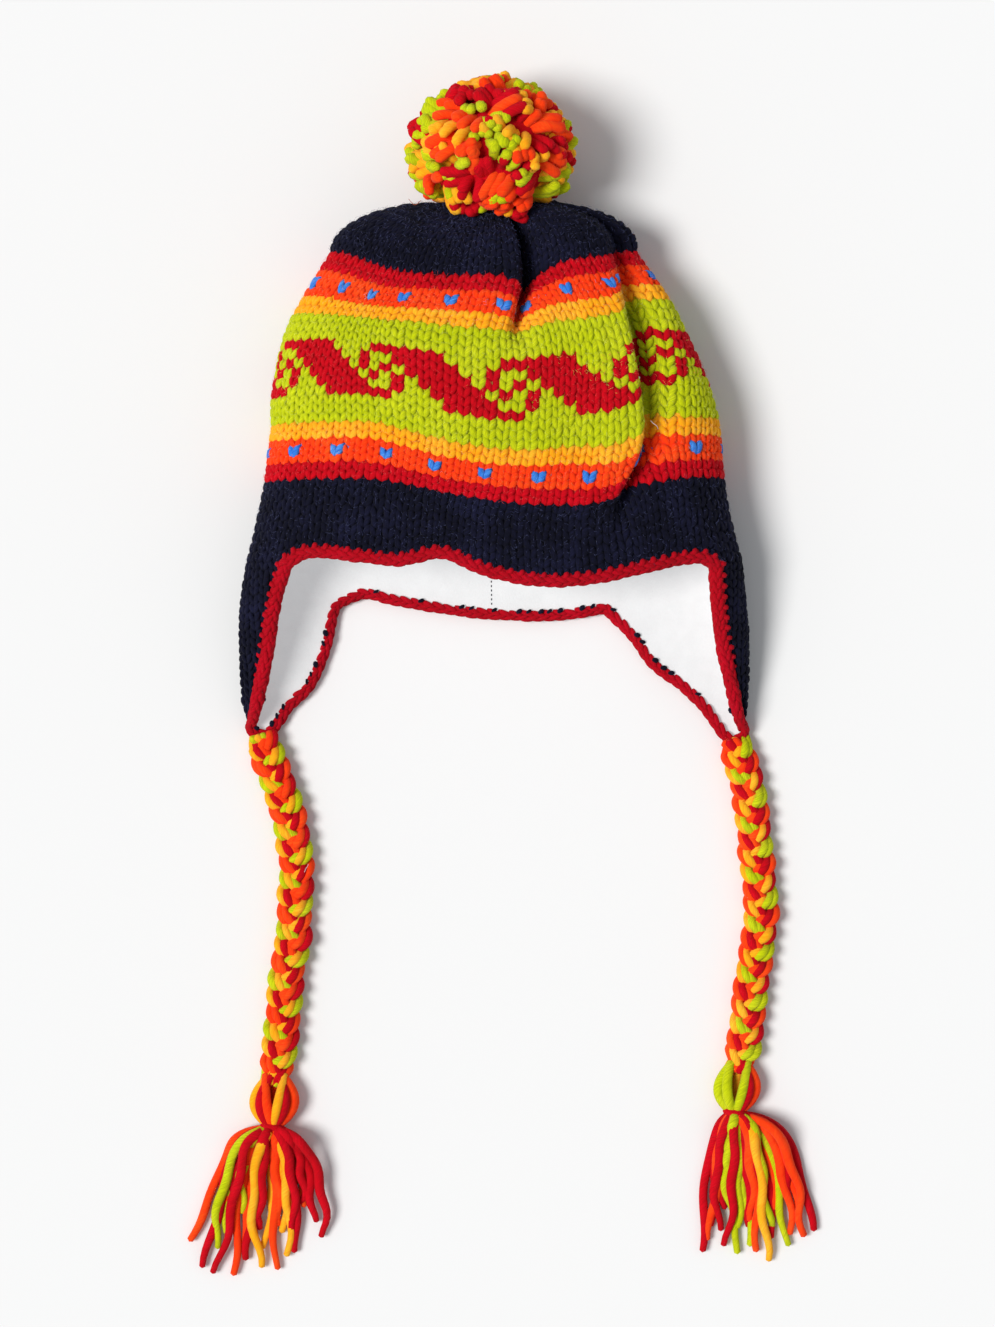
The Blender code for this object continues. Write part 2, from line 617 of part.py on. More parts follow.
def lock_object(name, knot, lock, collection, material):
    """One lock of yarn ends, from inside the knot to its free end on the surface."""
    tip = knot + [lock.x, lock.y, 0]
    tip[2] = LOCK_TIP_RADIUS * (1 + 1.7 * lock.layer) + FLOOR_GAP
    root = knot + [lock.x * 0.08, lock.y * 0.08, LOCK_LAYER_LIFT * lock.layer]
    bend = knot + [lock.x * 0.25, lock.y * 0.45, 0]
    bend[2] = LOCK_ROOT_RADIUS * (1 + 1.1 * lock.layer) + FLOOR_GAP
    shares = np.linspace(0, 1, LOCK_RINGS)
    line = np.array([(1 - t) ** 2 * root + 2 * t * (1 - t) * bend + t**2 * tip for t in shares])
    ahead = unit(np.gradient(line, axis=0))
    across = unit(np.cross(ahead, [0, 0, 1]))
    upward = np.cross(across, ahead)
    radii = LOCK_ROOT_RADIUS + (LOCK_TIP_RADIUS - LOCK_ROOT_RADIUS) * shares
    radii[0] *= 0.7
    radii[-1] *= 0.8
    angles = np.arange(TUBE_SIDES) * 2 * math.pi / TUBE_SIDES
    rings = [
        line + (across * math.cos(angle) + upward * math.sin(angle)) * radii[:, None]
        for angle in angles
    ]
    rings = np.stack(rings, 1).reshape(-1, 3)
    rings[:, 2] = np.maximum(rings[:, 2], FLOOR_GAP)
    obj = mesh_object(name, rings, tube_faces(LOCK_RINGS, TUBE_SIDES, False), material)
    bpy.context.scene.collection.objects.unlink(obj)
    collection.objects.link(obj)
    obj.hide_render = True
    obj.display_type = "WIRE"
    return obj


def tassel(name, knot, locks, material):
    """The knot at the end of a tie, with the locks of yarn ends fused to it."""
    collection = bpy.data.collections.new(name + "_locks")
    bpy.context.scene.collection.children.link(collection)
    for number, lock in enumerate(locks):
        lock_object(f"{name}_lock_{number}", knot, lock, collection, material)
    mesh = bpy.data.meshes.new(name)
    ball = bmesh.new()
    bmesh.ops.create_icosphere(ball, subdivisions=3, radius=KNOT_RADIUS)
    ball.to_mesh(mesh)
    ball.free()
    mesh.materials.append(material)
    mesh.shade_smooth()
    obj = bpy.data.objects.new(name, mesh)
    obj.location = knot
    bpy.context.scene.collection.objects.link(obj)
    join = obj.modifiers.new("fuse locks", "BOOLEAN")
    join.operation = "UNION"
    join.operand_type = "COLLECTION"
    join.solver = "EXACT"
    join.collection = collection
    return obj


def finish(name, colour, roughness):
    material = bpy.data.materials.new(name)
    material.use_nodes = True
    shader = material.node_tree.nodes["Principled BSDF"]
    shader.inputs["Base Color"].default_value = (*colour, 1)
    shader.inputs["Roughness"].default_value = roughness
    shader.inputs["Metallic"].default_value = 0.0
    return material


def clear_scene():
    for obj in list(bpy.data.objects):
        bpy.data.objects.remove(obj, do_unlink=True)


def main():
    clear_scene()
    sheet = hat_sheet()
    lining_depth = KNIT_THICKNESS + CLEARANCE
    navy = finish("navy wool", (0.008, 0.010, 0.035), 0.95)
    wall_object("knit_shell", sheet, 0, KNIT_THICKNESS, 0, navy)
    fleece = finish("white fleece", (0.84, 0.85, 0.85), 0.95)
    inner_depth = lining_depth + LINING_THICKNESS
    wall_object("fleece_lining", sheet, lining_depth, inner_depth, LINING_SETBACK, fleece)
    crochet_edging(sheet, finish("red wool", (0.55, 0.0, 0.012), 0.9))
    pompom(sheet, finish("mixed pompom yarn", (0.9, 0.25, 0.02), 0.9))
    yarn = finish("mixed tie yarn", (0.9, 0.2, 0.02), 0.9)
    tie("left_tie", LEFT_TIE_ROUTE, yarn)
    tie("right_tie", RIGHT_TIE_ROUTE, yarn)
    height = KNOT_RADIUS + FLOOR_GAP
    tassel("left_tassel", np.array([*LEFT_KNOT, height]), LEFT_LOCKS, yarn)
    tassel("right_tassel", np.array([*RIGHT_KNOT, height]), RIGHT_LOCKS, yarn)


main()
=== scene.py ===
# %% [markdown]
# # A hand-knitted ear-flap hat
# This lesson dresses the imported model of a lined, chunky knitted hat: a knitted crown with two ear
# flaps, a fleece lining, a crocheted edging, a cut-yarn pompom and two braided ties with tassels.
# The hat lies on its back, so +Y runs from the brow to the pompom and +Z is up from the table.
# Each cell says what a part is on the real hat, how it could be made, and why this way was chosen.

import math
from collections import namedtuple

import bpy
import numpy as np
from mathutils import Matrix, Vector
from mathutils.bvhtree import BVHTree


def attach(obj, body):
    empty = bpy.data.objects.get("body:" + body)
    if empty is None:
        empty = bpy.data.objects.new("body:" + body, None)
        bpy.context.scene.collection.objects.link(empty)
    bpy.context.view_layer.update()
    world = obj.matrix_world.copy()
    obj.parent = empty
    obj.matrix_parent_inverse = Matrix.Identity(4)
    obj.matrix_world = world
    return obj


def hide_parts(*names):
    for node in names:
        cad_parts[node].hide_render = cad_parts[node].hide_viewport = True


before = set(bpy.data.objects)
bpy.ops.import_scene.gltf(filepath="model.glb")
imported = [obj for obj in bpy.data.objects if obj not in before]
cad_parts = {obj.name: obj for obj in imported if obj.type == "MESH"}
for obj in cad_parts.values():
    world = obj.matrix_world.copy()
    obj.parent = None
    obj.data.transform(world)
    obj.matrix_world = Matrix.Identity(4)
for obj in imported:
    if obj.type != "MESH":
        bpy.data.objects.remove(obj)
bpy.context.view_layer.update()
rng = np.random.default_rng(7)

# %% [markdown]
# ## Camera, light and table
# The hat was photographed from straight above. The photo frame covers 517 x 690 mm at the hat's
# middle height. A long lens far away would be flatter; 1.9 m keeps the slight spread of the sides.
# The light is soft daylight from the left, which leaves a short soft shadow on the right.

# %% Camera
PHOTO_SCALE = 0.00052  # metres to a photo pixel at a height of 30 mm
CAMERA_HEIGHT = 1.9
CAMERA_PLACE = (0.0019, -0.1295)

camera_data = bpy.data.cameras.new("camera")
camera_data.sensor_fit = "VERTICAL"
camera_data.sensor_height = 36
camera_data.lens = 36 * (CAMERA_HEIGHT - 0.03) / (1327 * PHOTO_SCALE)
camera = bpy.data.objects.new("camera", camera_data)
camera.location = (*CAMERA_PLACE, CAMERA_HEIGHT)
bpy.context.scene.collection.objects.link(camera)
bpy.context.scene.camera = camera
print("lens:", round(camera_data.lens, 1), "mm")

# %% Light and table
SUN_ELEVATION = math.radians(57)
SUN_AZIMUTH = math.radians(186)
SUN_STRENGTH = 2.95
SUN_SOFTNESS = 24  # degrees across, as a large window is
SKY_STRENGTH = 0.42

sun_data = bpy.data.lights.new("window light", "SUN")
sun_data.energy = SUN_STRENGTH
sun_data.angle = math.radians(SUN_SOFTNESS)
sun_data.color = (1.0, 0.985, 0.96)
sun = bpy.data.objects.new("window light", sun_data)
towards = Vector((
    math.cos(SUN_ELEVATION) * math.cos(SUN_AZIMUTH),
    math.cos(SUN_ELEVATION) * math.sin(SUN_AZIMUTH),
    math.sin(SUN_ELEVATION),
))
sun.rotation_euler = towards.to_track_quat("Z", "Y").to_euler()
bpy.context.scene.collection.objects.link(sun)

world = bpy.data.worlds.new("studio")
world.use_nodes = True
world.node_tree.nodes["Background"].inputs["Color"].default_value = (0.95, 0.97, 1.0, 1)
world.node_tree.nodes["Background"].inputs["Strength"].default_value = SKY_STRENGTH
bpy.context.scene.world = world
bpy.context.scene.view_settings.view_transform = "Standard"

table_mesh = bpy.data.meshes.new("table")
table_mesh.from_pydata([(-3, -3, 0), (3, -3, 0), (3, 3, 0), (-3, 3, 0)], [], [(0, 1, 2, 3)])
table = bpy.data.objects.new("table", table_mesh)
table.location.z = -0.0004
bpy.context.scene.collection.objects.link(table)
table_paint = bpy.data.materials.new("table paper")
table_paint.use_nodes = True
table_shader = table_paint.node_tree.nodes["Principled BSDF"]
table_shader.inputs["Base Color"].default_value = (0.80, 0.805, 0.81, 1)
table_shader.inputs["Roughness"].default_value = 0.9
table_shader.inputs["Specular IOR Level"].default_value = 0.1
table_mesh.materials.append(table_paint)
print("sun from", [round(v, 2) for v in towards])

# %% [markdown]
# ## Mesh tools
# Nearly everything on this hat is yarn, so one tool makes many closed tubes at once from arrays of
# paths. A curve object for each strand would be simpler, but thousands of curves are slow, and a
# mesh can carry texture coordinates: how far round the yarn (U) and how far along it (V, in turns
# of 10 mm), which the wool materials use for their fibres.

# %% Mesh tools
Part = namedtuple("Part", "points quads quad_uv tris tri_uv quad_slot tri_slot")
TURNS_TO_A_METRE = 100
UP = np.array([0, 0, 1.0])
CAP_RISE = 0.6  # how far a tube's end cap stands out, in radii


def unit(vectors):
    return vectors / np.maximum(np.linalg.norm(vectors, axis=-1, keepdims=True), 1e-12)


def distances(lines):
    """How far along its line each point is, for one line or for a stack of lines."""
    steps = np.linalg.norm(np.diff(lines, axis=-2), axis=-1)
    return np.concatenate([np.zeros((*steps.shape[:-1], 1)), np.cumsum(steps, -1)], -1)


def tubes(paths, radii, up, slots, sides=6, flatness=1.0):
    """Closed tubes with rounded ends round n paths of m points, each with its own material slot."""
    count, rings = paths.shape[:2]
    ahead = unit(np.gradient(paths, axis=1))
    across = unit(np.cross(ahead, up))
    over = np.cross(across, ahead)
    angle = np.arange(sides) * 2 * math.pi / sides
    ring = across[:, :, None] * np.cos(angle)[:, None]
    ring = ring + over[:, :, None] * (np.sin(angle) * flatness)[:, None]
    points = paths[:, :, None] + ring * radii[:, :, None, None]
    first = paths[:, :1] - ahead[:, :1] * radii[:, :1, None] * CAP_RISE
    last = paths[:, -1:] + ahead[:, -1:] * radii[:, -1:, None] * CAP_RISE
    points = np.concatenate([points.reshape(count, -1, 3), first, last], 1)
    size = rings * sides + 2
    # Each tube starts at its own place in the fibres, so that neighbours don't look alike
    along = distances(paths) * TURNS_TO_A_METRE + np.arange(count)[:, None] * 0.37

    ring_index, side = np.meshgrid(np.arange(rings - 1), np.arange(sides), indexing="ij")
    after = (side + 1) % sides
    quads = np.stack([
        ring_index * sides + side, (ring_index + 1) * sides + side,
        (ring_index + 1) * sides + after, ring_index * sides + after,
    ], -1).reshape(-1, 4)[:, ::-1]
    turn = np.stack([side, side, side + 1, side + 1], -1).reshape(-1, 4)[:, ::-1] / sides
    level = np.stack([ring_index, ring_index + 1, ring_index + 1, ring_index], -1).reshape(-1, 4)[:, ::-1]
    k = np.arange(sides)
    start_cap = np.stack([np.full(sides, rings * sides), k, (k + 1) % sides], 1)[:, ::-1]
    end_cap = np.stack([np.full(sides, rings * sides + 1), (rings - 1) * sides + (k + 1) % sides,
                        (rings - 1) * sides + k], 1)[:, ::-1]
    tris = np.concatenate([start_cap, end_cap])
    cap_turn = np.concatenate([np.stack([k + 0.5, k, k + 1], 1), np.stack([k + 0.5, k + 1, k], 1)])
    cap_turn = cap_turn[:, ::-1] / sides
    cap_level = np.repeat([0, rings - 1], sides)

    base = (np.arange(count) * size)[:, None, None]
    quad_uv = np.stack([np.broadcast_to(turn, (count, *turn.shape)), along[:, level]], -1)
    tri_uv = np.stack([
        np.broadcast_to(cap_turn, (count, *cap_turn.shape)),
        np.repeat(along[:, cap_level][:, :, None], 3, 2),
    ], -1)
    slots = np.asarray(slots)
    return Part(
        points.reshape(-1, 3), (quads + base).reshape(-1, 4), quad_uv.reshape(-1, 4, 2),
        (tris + base).reshape(-1, 3), tri_uv.reshape(-1, 3, 2),
        np.repeat(slots, len(quads)), np.repeat(slots, len(tris)),
    )


def grid_part(points, slots, closed=False, turned=False):
    """A sheet of quads through a grid of points, with a slot for each quad."""
    rows, columns = points.shape[:2]
    wide = columns if closed else columns - 1
    row, column = np.meshgrid(np.arange(rows - 1), np.arange(wide), indexing="ij")
    after = (column + 1) % columns
    quads = np.stack([row * columns + column, row * columns + after,
                      (row + 1) * columns + after, (row + 1) * columns + column], -1).reshape(-1, 4)
    step = float(np.median(np.linalg.norm(np.diff(points, axis=1), axis=2))) * TURNS_TO_A_METRE
    uv = np.stack([
        np.stack([column, column + 1, column + 1, column], -1) * step,
        np.stack([row, row, row + 1, row + 1], -1) * step,
    ], -1).reshape(-1, 4, 2)
    if turned:
        quads, uv = quads[:, ::-1], uv[:, ::-1]
    slots = np.broadcast_to(np.asarray(slots), (rows - 1, wide)).reshape(-1)
    none = np.zeros((0, 3), int)
    return Part(points.reshape(-1, 3), quads, uv, none, np.zeros((0, 3, 2)), slots, np.zeros(0, int))


def make_piece(name, parts, materials, node=None):
    """One smooth mesh object from parts, riding on the body, which may stand for a CAD node."""
    starts = np.cumsum([0] + [len(part.points) for part in parts])
    points = np.concatenate([part.points for part in parts])
    quads = np.concatenate([part.quads + start for part, start in zip(parts, starts)])
    tris = np.concatenate([part.tris + start for part, start in zip(parts, starts)])
    corners = np.concatenate([quads.ravel(), tris.ravel()])
    sizes = np.concatenate([np.full(len(quads), 4), np.full(len(tris), 3)])
    uv = np.concatenate([np.concatenate([part.quad_uv.reshape(-1, 2) for part in parts]),
                         np.concatenate([part.tri_uv.reshape(-1, 2) for part in parts])])
    slots = np.concatenate([part.quad_slot for part in parts] + [part.tri_slot for part in parts])
    mesh = bpy.data.meshes.new(name)
    mesh.vertices.add(len(points))
    mesh.vertices.foreach_set("co", points.astype(np.float32).ravel())
    mesh.loops.add(len(corners))
    mesh.loops.foreach_set("vertex_index", corners.astype(np.int32))
    mesh.polygons.add(len(sizes))
    mesh.polygons.foreach_set("loop_start", np.concatenate([[0], np.cumsum(sizes)[:-1]]).astype(np.int32))
    mesh.polygons.foreach_set("material_index", slots.astype(np.int32))
    mesh.polygons.foreach_set("use_smooth", np.full(len(sizes), True))
    mesh.uv_layers.new(name="yarn").data.foreach_set("uv", uv.astype(np.float32).ravel())
    mesh.update(calc_edges=True)
    for material in materials:
        mesh.materials.append(material)
    piece = bpy.data.objects.new(name, mesh)
    bpy.context.scene.collection.objects.link(piece)
    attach(piece, "root")
    if node:
        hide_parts(node)
    print(f"{name}: {2 * len(quads) + len(tris)} triangles")
    return piece


def at_shares(line, shares):
    """Points at shares of a line's own length."""
    along = distances(line)
    return np.stack([np.interp(np.asarray(shares) * along[-1], along, line[:, k]) for k in range(3)], 1)


def mix(low, high, share):
    return low * (1 - share) + high * share


def hill(away, at, width):
    """One at a place, and less on both sides of it."""
    return np.exp(-(((away - at) / width) ** 2))


def table_of(kind, *rows):
    return [kind(*row) for row in rows]


def length_of(line):
    return float(distances(line)[-1])


def blend_curve(t, start, start_slope, end, end_slope):
    """A smooth curve from one value to the next, with its slope at both."""
    return ((2 * t**3 - 3 * t**2 + 1) * start + (t**3 - 2 * t**2 + t) * start_slope
            + (-2 * t**3 + 3 * t**2) * end + (t**3 - t**2) * end_slope)


def above_table(points, height):
    """Lifts points that would be lower than a height over the table; changes them in place."""
    points[..., 2] = np.maximum(points[..., 2], height)
    return points


print("mesh tools: tubes, grid_part and make_piece; one turn of V is", 1000 / TURNS_TO_A_METRE, "mm")

# %% [markdown]
# ## Wool
# The yarn is soft, thick, loosely spun wool. Close up it shows fine fibres that run along it with a
# slight twist, a little unevenness of dye, and a pale haze where fibres stand off the surface.
# The fibre height is one node group, used by every yarn, and the dye, which also paints shade into
# the deep places between the fibres, is another. The haze is the shader's own sheen. Photographed
# textures would hold more detail, but nothing here needs them.

# %% Wool materials
def new_group(name, inputs, outputs):
    group = bpy.data.node_groups.new(name, "ShaderNodeTree")
    for label, kind, value in inputs:
        socket = group.interface.new_socket(label, in_out="INPUT", socket_type=kind)
        socket.default_value = value
    for label, kind in outputs:
        group.interface.new_socket(label, in_out="OUTPUT", socket_type=kind)
    entry = group.nodes.new("NodeGroupInput")
    leave = group.nodes.new("NodeGroupOutput")
    entry.location, leave.location = (-900, 0), (500, 0)
    return group, entry, leave


def add(group, kind, place, **settings):
    node = group.nodes.new(kind)
    node.location = place
    for key, value in settings.items():
        setattr(node, key, value)
    return node


def put(node, **values):
    """Sets a node's sockets; an underscore in a name stands for a space."""
    for name, value in values.items():
        node.inputs[name.replace("_", " ")].default_value = value


def wire(tree, *links):
    """Makes links, each given as a node, its output, the next node and its input."""
    for node, output, following, socket in links:
        tree.links.new(node.outputs[output], following.inputs[socket])


def math_node(group, operation, place, first, second):
    node = add(group, "ShaderNodeMath", place, operation=operation)
    for socket, value in zip(node.inputs, (first, second)):
        if isinstance(value, (int, float)):
            socket.default_value = value
        else:
            group.links.new(value, socket)
    return node.outputs[0]


def fibre_group():
    """Fine fibres along a yarn, turned by its twist: a height, and a mask of the deep places for painted
    shade.
    """
    group, entry, leave = new_group(
        "wool fibres",
        [("UV", "NodeSocketVector", (0, 0, 0)), ("Twist", "NodeSocketFloat", 0.8),
         ("Fibres Round", "NodeSocketFloat", 9.0), ("Fibres Along", "NodeSocketFloat", 2.2)],
        [("Height", "NodeSocketFloat"), ("Depth", "NodeSocketFloat")],
    )
    split = add(group, "ShaderNodeSeparateXYZ", (-700, 0))
    group.links.new(entry.outputs["UV"], split.inputs[0])
    turned = math_node(group, "MULTIPLY", (-600, -150), split.outputs[1], entry.outputs["Twist"])
    around = math_node(group, "ADD", (-500, 0), split.outputs[0], turned)
    angle = math_node(group, "MULTIPLY", (-450, 0), around, 2 * math.pi)
    sine = math_node(group, "SINE", (-400, 0), angle, 0)
    cosine = math_node(group, "COSINE", (-400, -150), angle, 0)
    place = add(group, "ShaderNodeCombineXYZ", (-200, 0))
    for index, (value, scale) in enumerate((
        (sine, "Fibres Round"), (cosine, "Fibres Round"), (split.outputs[1], "Fibres Along"),
    )):
        scaled = math_node(group, "MULTIPLY", (-300, -150 * index), value, entry.outputs[scale])
        group.links.new(scaled, place.inputs[index])
    noise = add(group, "ShaderNodeTexNoise", (0, 0))
    put(noise, Scale=1.0, Detail=4, Roughness=0.65)
    depth = add(group, "ShaderNodeMapRange", (200, -200))
    put(depth, From_Min=0.60, From_Max=0.38)
    wire(group, (place, 0, noise, "Vector"), (noise, "Fac", depth, "Value"),
         (noise, "Fac", leave, "Height"), (depth, "Result", leave, "Depth"))
    return group


def dye_and_shade_group():
    """A dyed wool's colour: slow unevenness over the hat, and painted shade between its fibres."""
    group, entry, leave = new_group(
        "wool dye and painted shade",
        [("Dye", "NodeSocketColor", (0.5, 0.5, 0.5, 1)), ("Shade", "NodeSocketColor", (0.3, 0.3, 0.3, 1)),
         ("Light", "NodeSocketColor", (0.7, 0.7, 0.7, 1)), ("Depth", "NodeSocketFloat", 0.0),
         ("Flecks", "NodeSocketFloat", 0.0)],
        [("Colour", "NodeSocketColor")],
    )
    place = add(group, "ShaderNodeTexCoord", (-900, -300))
    slow = add(group, "ShaderNodeTexNoise", (-700, -300))
    put(slow, Scale=55, Detail=3)
    spread = add(group, "ShaderNodeMapRange", (-500, -300))
    put(spread, From_Min=0.42, From_Max=0.72)
    lighter = add(group, "ShaderNodeMix", (-200, 0), data_type="RGBA")
    darker = add(group, "ShaderNodeMix", (0, 0), data_type="RGBA")
    fine = add(group, "ShaderNodeTexNoise", (-400, -600))
    put(fine, Scale=1400, Detail=1)
    fleck = add(group, "ShaderNodeMapRange", (-200, -600))
    put(fleck, From_Min=0.62, From_Max=0.74)
    amount = math_node(group, "MULTIPLY", (0, -600), fleck.outputs["Result"], entry.outputs["Flecks"])
    flecked = add(group, "ShaderNodeMix", (250, 0), data_type="RGBA")
    group.links.new(amount, flecked.inputs["Factor"])
    wire(
        group, (place, "Object", slow, "Vector"), (slow, "Fac", spread, "Value"),
        (spread, "Result", lighter, "Factor"), (entry, "Dye", lighter, "A"), (entry, "Light", lighter, "B"),
        (entry, "Depth", darker, "Factor"), (lighter, "Result", darker, "A"), (entry, "Shade", darker, "B"),
        (place, "Object", fine, "Vector"), (fine, "Fac", fleck, "Value"),
        (darker, "Result", flecked, "A"), (entry, "Light", flecked, "B"),
        (flecked, "Result", leave, "Colour"),
    )
    return group


FIBRES = fibre_group()
DYE_AND_SHADE = dye_and_shade_group()


def linear(colour):
    """A colour of 0 to 255, as an eye reads it, as linear light."""
    return tuple(((v / 255 + 0.055) / 1.055) ** 2.4 if v > 10 else v / 255 / 12.92 for v in colour)


def cloth(name, **values):
    """A new material with its node tree and its shader, whose constants are set."""
    material = bpy.data.materials.new(name)
    material.use_nodes = True
    shader = material.node_tree.nodes["Principled BSDF"]
    put(shader, **values)
    return material, material.node_tree, shader


def wool(name, dye, shade, light, flecks=0.0, sheen=0.1, twist=0.8):
    """A wool of three colours of 0 to 255: its dye, its painted shade between the fibres, and where it is
    paler.
    """
    dye, shade, light = [(*linear(colour), 1) for colour in (dye, shade, light)]
    tint = (*[min(1.0, v * 0.6 + 0.4) for v in light[:3]], 1)
    material, tree, shader = cloth(name, Roughness=0.92, Specular_IOR_Level=0.15, Sheen_Weight=sheen,
                                   Sheen_Roughness=0.45, Sheen_Tint=tint)
    place = add(tree, "ShaderNodeUVMap", (-900, 0), uv_map="yarn")
    fibres = add(tree, "ShaderNodeGroup", (-700, -100), node_tree=FIBRES)
    put(fibres, Twist=twist)
    # The shade colour is painted shade, mixed in where the fibres lie deep
    colour = add(tree, "ShaderNodeGroup", (-400, 100), node_tree=DYE_AND_SHADE)
    put(colour, Dye=dye, Shade=shade, Light=light, Flecks=flecks)
    bump = add(tree, "ShaderNodeBump", (-300, -250))
    put(bump, Strength=0.55, Distance=0.0008)
    wire(tree, (place, 0, fibres, "UV"), (fibres, "Depth", colour, "Depth"),
         (colour, "Colour", shader, "Base Color"), (fibres, "Height", bump, "Height"),
         (bump, "Normal", shader, "Normal"))
    return material


NAVY, RED, ORANGE, AMBER, LIME, BLUE = range(6)
YARNS = [
    wool("navy wool", (9, 11, 34), (4, 4, 15), (28, 30, 62), flecks=0.5, sheen=0.04),
    wool("red wool", (208, 0, 22), (172, 0, 15), (226, 2, 32), sheen=0.02),
    wool("orange wool", (255, 72, 12), (250, 46, 6), (255, 96, 26)),
    wool("amber wool", (255, 186, 26), (252, 150, 12), (255, 206, 62)),
    wool("lime wool", (208, 218, 8), (160, 174, 2), (224, 230, 36)),
    wool("blue wool", (62, 146, 242), (24, 78, 184), (104, 178, 252)),
]
print("wools:", [material.name for material in YARNS])

# %% [markdown]
# ## Ties
# Each tie is a plait of three bundles, and each bundle is two or three thick yarns laid side by
# side, in red, orange, amber and lime. The photo shows both ties from the flap to the knot, so
# their lengths are measured: about 183 and 173 mm, then the knot and the tassel. A plait's bundles
# follow a sine across the tie and one of twice the pitch up and down, a third of a turn apart.

# %% Ties
TIE_HEIGHT = 0.0077
TIE_PITCH = 0.0262
BUNDLE_SWING = 0.0046
BUNDLE_LIFT = 0.0026
YARN_RADIUS = 0.0024
YARN_SPACING = 0.0031
YARN_WOBBLE = 0.0005
START_EASE, END_EASE = 0.006, 0.010
TIE_LEAD = 0.0045  # each plait starts this far inside the flap's tip
LEAD_POINTS = 5
TIE_POINTS = 240
LEFT_TIE_ROUTE = (
    (-0.1212, -0.1716), (-0.1188, -0.1795), (-0.1146, -0.1903), (-0.1112, -0.2003),
    (-0.1083, -0.2103), (-0.1064, -0.2185), (-0.1052, -0.2266), (-0.1044, -0.2345),
    (-0.1041, -0.2424), (-0.1046, -0.2506), (-0.1052, -0.2587), (-0.1054, -0.2666),
    (-0.1056, -0.2745), (-0.1070, -0.2813), (-0.1084, -0.2881), (-0.1094, -0.2960),
    (-0.1101, -0.3039), (-0.1106, -0.3108), (-0.1112, -0.3176), (-0.1118, -0.3242),
    (-0.1124, -0.3308), (-0.1134, -0.3376), (-0.1148, -0.3444), (-0.1161, -0.3510),
)
RIGHT_TIE_ROUTE = (
    (0.1282, -0.1738), (0.1300, -0.1803), (0.1322, -0.1886), (0.1344, -0.1966),
    (0.1356, -0.2047), (0.1364, -0.2129), (0.1372, -0.2210), (0.1380, -0.2292),
    (0.1390, -0.2371), (0.1398, -0.2450), (0.1404, -0.2532), (0.1406, -0.2613),
    (0.1400, -0.2680), (0.1390, -0.2745), (0.1380, -0.2813), (0.1370, -0.2881),
    (0.1358, -0.2947), (0.1348, -0.3013), (0.1342, -0.3081), (0.1336, -0.3150),
    (0.1328, -0.3211), (0.1318, -0.3273), (0.1302, -0.3354), (0.1279, -0.3440),
)


def smooth_line(points, count):
    """Points evenly along a smooth curve through given points."""
    points = np.array(points, float)
    before = np.concatenate([[2 * points[0] - points[1]], points[:-1]])
    after = np.concatenate([points[1:], [2 * points[-1] - points[-2]]])
    slopes = (after - before) / 2
    line = []
    for k in range(len(points) - 1):
        t = np.linspace(0, 1, 10, endpoint=False)[:, None]
        line.append(blend_curve(t, points[k], slopes[k], points[k + 1], slopes[k + 1]))
    return at_shares(np.concatenate([*line, points[-1:]]), np.linspace(0, 1, count))


def plait(name, route, bundles, phase, node):
    """A plait of three bundles of yarns along a route on the table."""
    line = smooth_line([(x, y, TIE_HEIGHT) for x, y in route], TIE_POINTS)
    length = length_of(line)
    lead = unit(line[0] - line[3]) * TIE_LEAD
    line = np.concatenate([line[0] + lead * np.linspace(1, 0, LEAD_POINTS, endpoint=False)[:, None], line])
    ahead = unit(np.gradient(line, axis=0))
    across = unit(np.cross(ahead, [0, 0, 1]))
    along = np.linspace(0, length, len(line))
    # The plait is a little slimmer where it is sewn on, and much slimmer where the bulge takes it in
    ease = np.minimum(np.clip(along / START_EASE, 0.85, 1), np.clip((length - along) / END_EASE, 0.45, 1))
    paths, slots = [], []
    for number, yarns in enumerate(bundles):
        turn = 2 * math.pi * (along / TIE_PITCH + number / 3) + phase
        x = BUNDLE_SWING * np.sin(turn) * ease
        z = -BUNDLE_LIFT * np.sin(2 * turn) * ease
        steer = np.cos(turn)
        for place, slot in enumerate(yarns):
            beside = (place - (len(yarns) - 1) / 2) * YARN_SPACING
            wobble = YARN_WOBBLE * np.sin(along * 260 + place * 2 + number)
            lateral = x + beside * (0.86 + 0.14 * np.abs(steer)) + wobble
            height = z - 0.0012 * np.abs(beside) / YARN_SPACING + 0.0006 * np.sin(turn + place)
            paths.append(line + across * lateral[:, None] + UP * height[:, None])
            slots.append(slot)
    paths = np.array(paths)
    thick = 0.94 + 0.1 * np.sin(along * 300 + 1.3 * np.arange(len(paths))[:, None])
    radii = YARN_RADIUS * thick
    above_table(paths, radii + 0.0002)
    part = tubes(paths, radii, UP, slots, sides=8, flatness=0.92)
    piece = make_piece(name, [part], YARNS, node)
    return piece, line[LEAD_POINTS:], length


LEFT_BUNDLES = ((ORANGE, RED, AMBER), (LIME, AMBER, LIME), (RED, ORANGE, ORANGE))
RIGHT_BUNDLES = ((ORANGE, RED, ORANGE), (LIME, LIME, AMBER), (RED, AMBER, ORANGE))
left_tie, left_line, left_length = plait("left_braid", LEFT_TIE_ROUTE, LEFT_BUNDLES, 0.4, "left_tie")
right_tie, right_line, right_length = plait("right_braid", RIGHT_TIE_ROUTE, RIGHT_BUNDLES, 2.1, "right_tie")
print("ties:", round(left_length * 1000), "and", round(right_length * 1000), "mm")

# %% [markdown]
# ## Knots and tassels
# Below the plait the yarns part round a short bulge, are cinched into a neck and fan out over the
# table as loose ends, thick and slightly flattened, a few of them lying apart. The twenty ends on
# top of each tassel get tips chosen from the photo and slow bends of their own; ten shorter ones
# under them fill it.

# %% Tassels
Strand = namedtuple("Strand", "x y yarn bend")
LEFT_KNOT = (-0.1174, -0.3636)
RIGHT_KNOT = (0.1260, -0.3562)
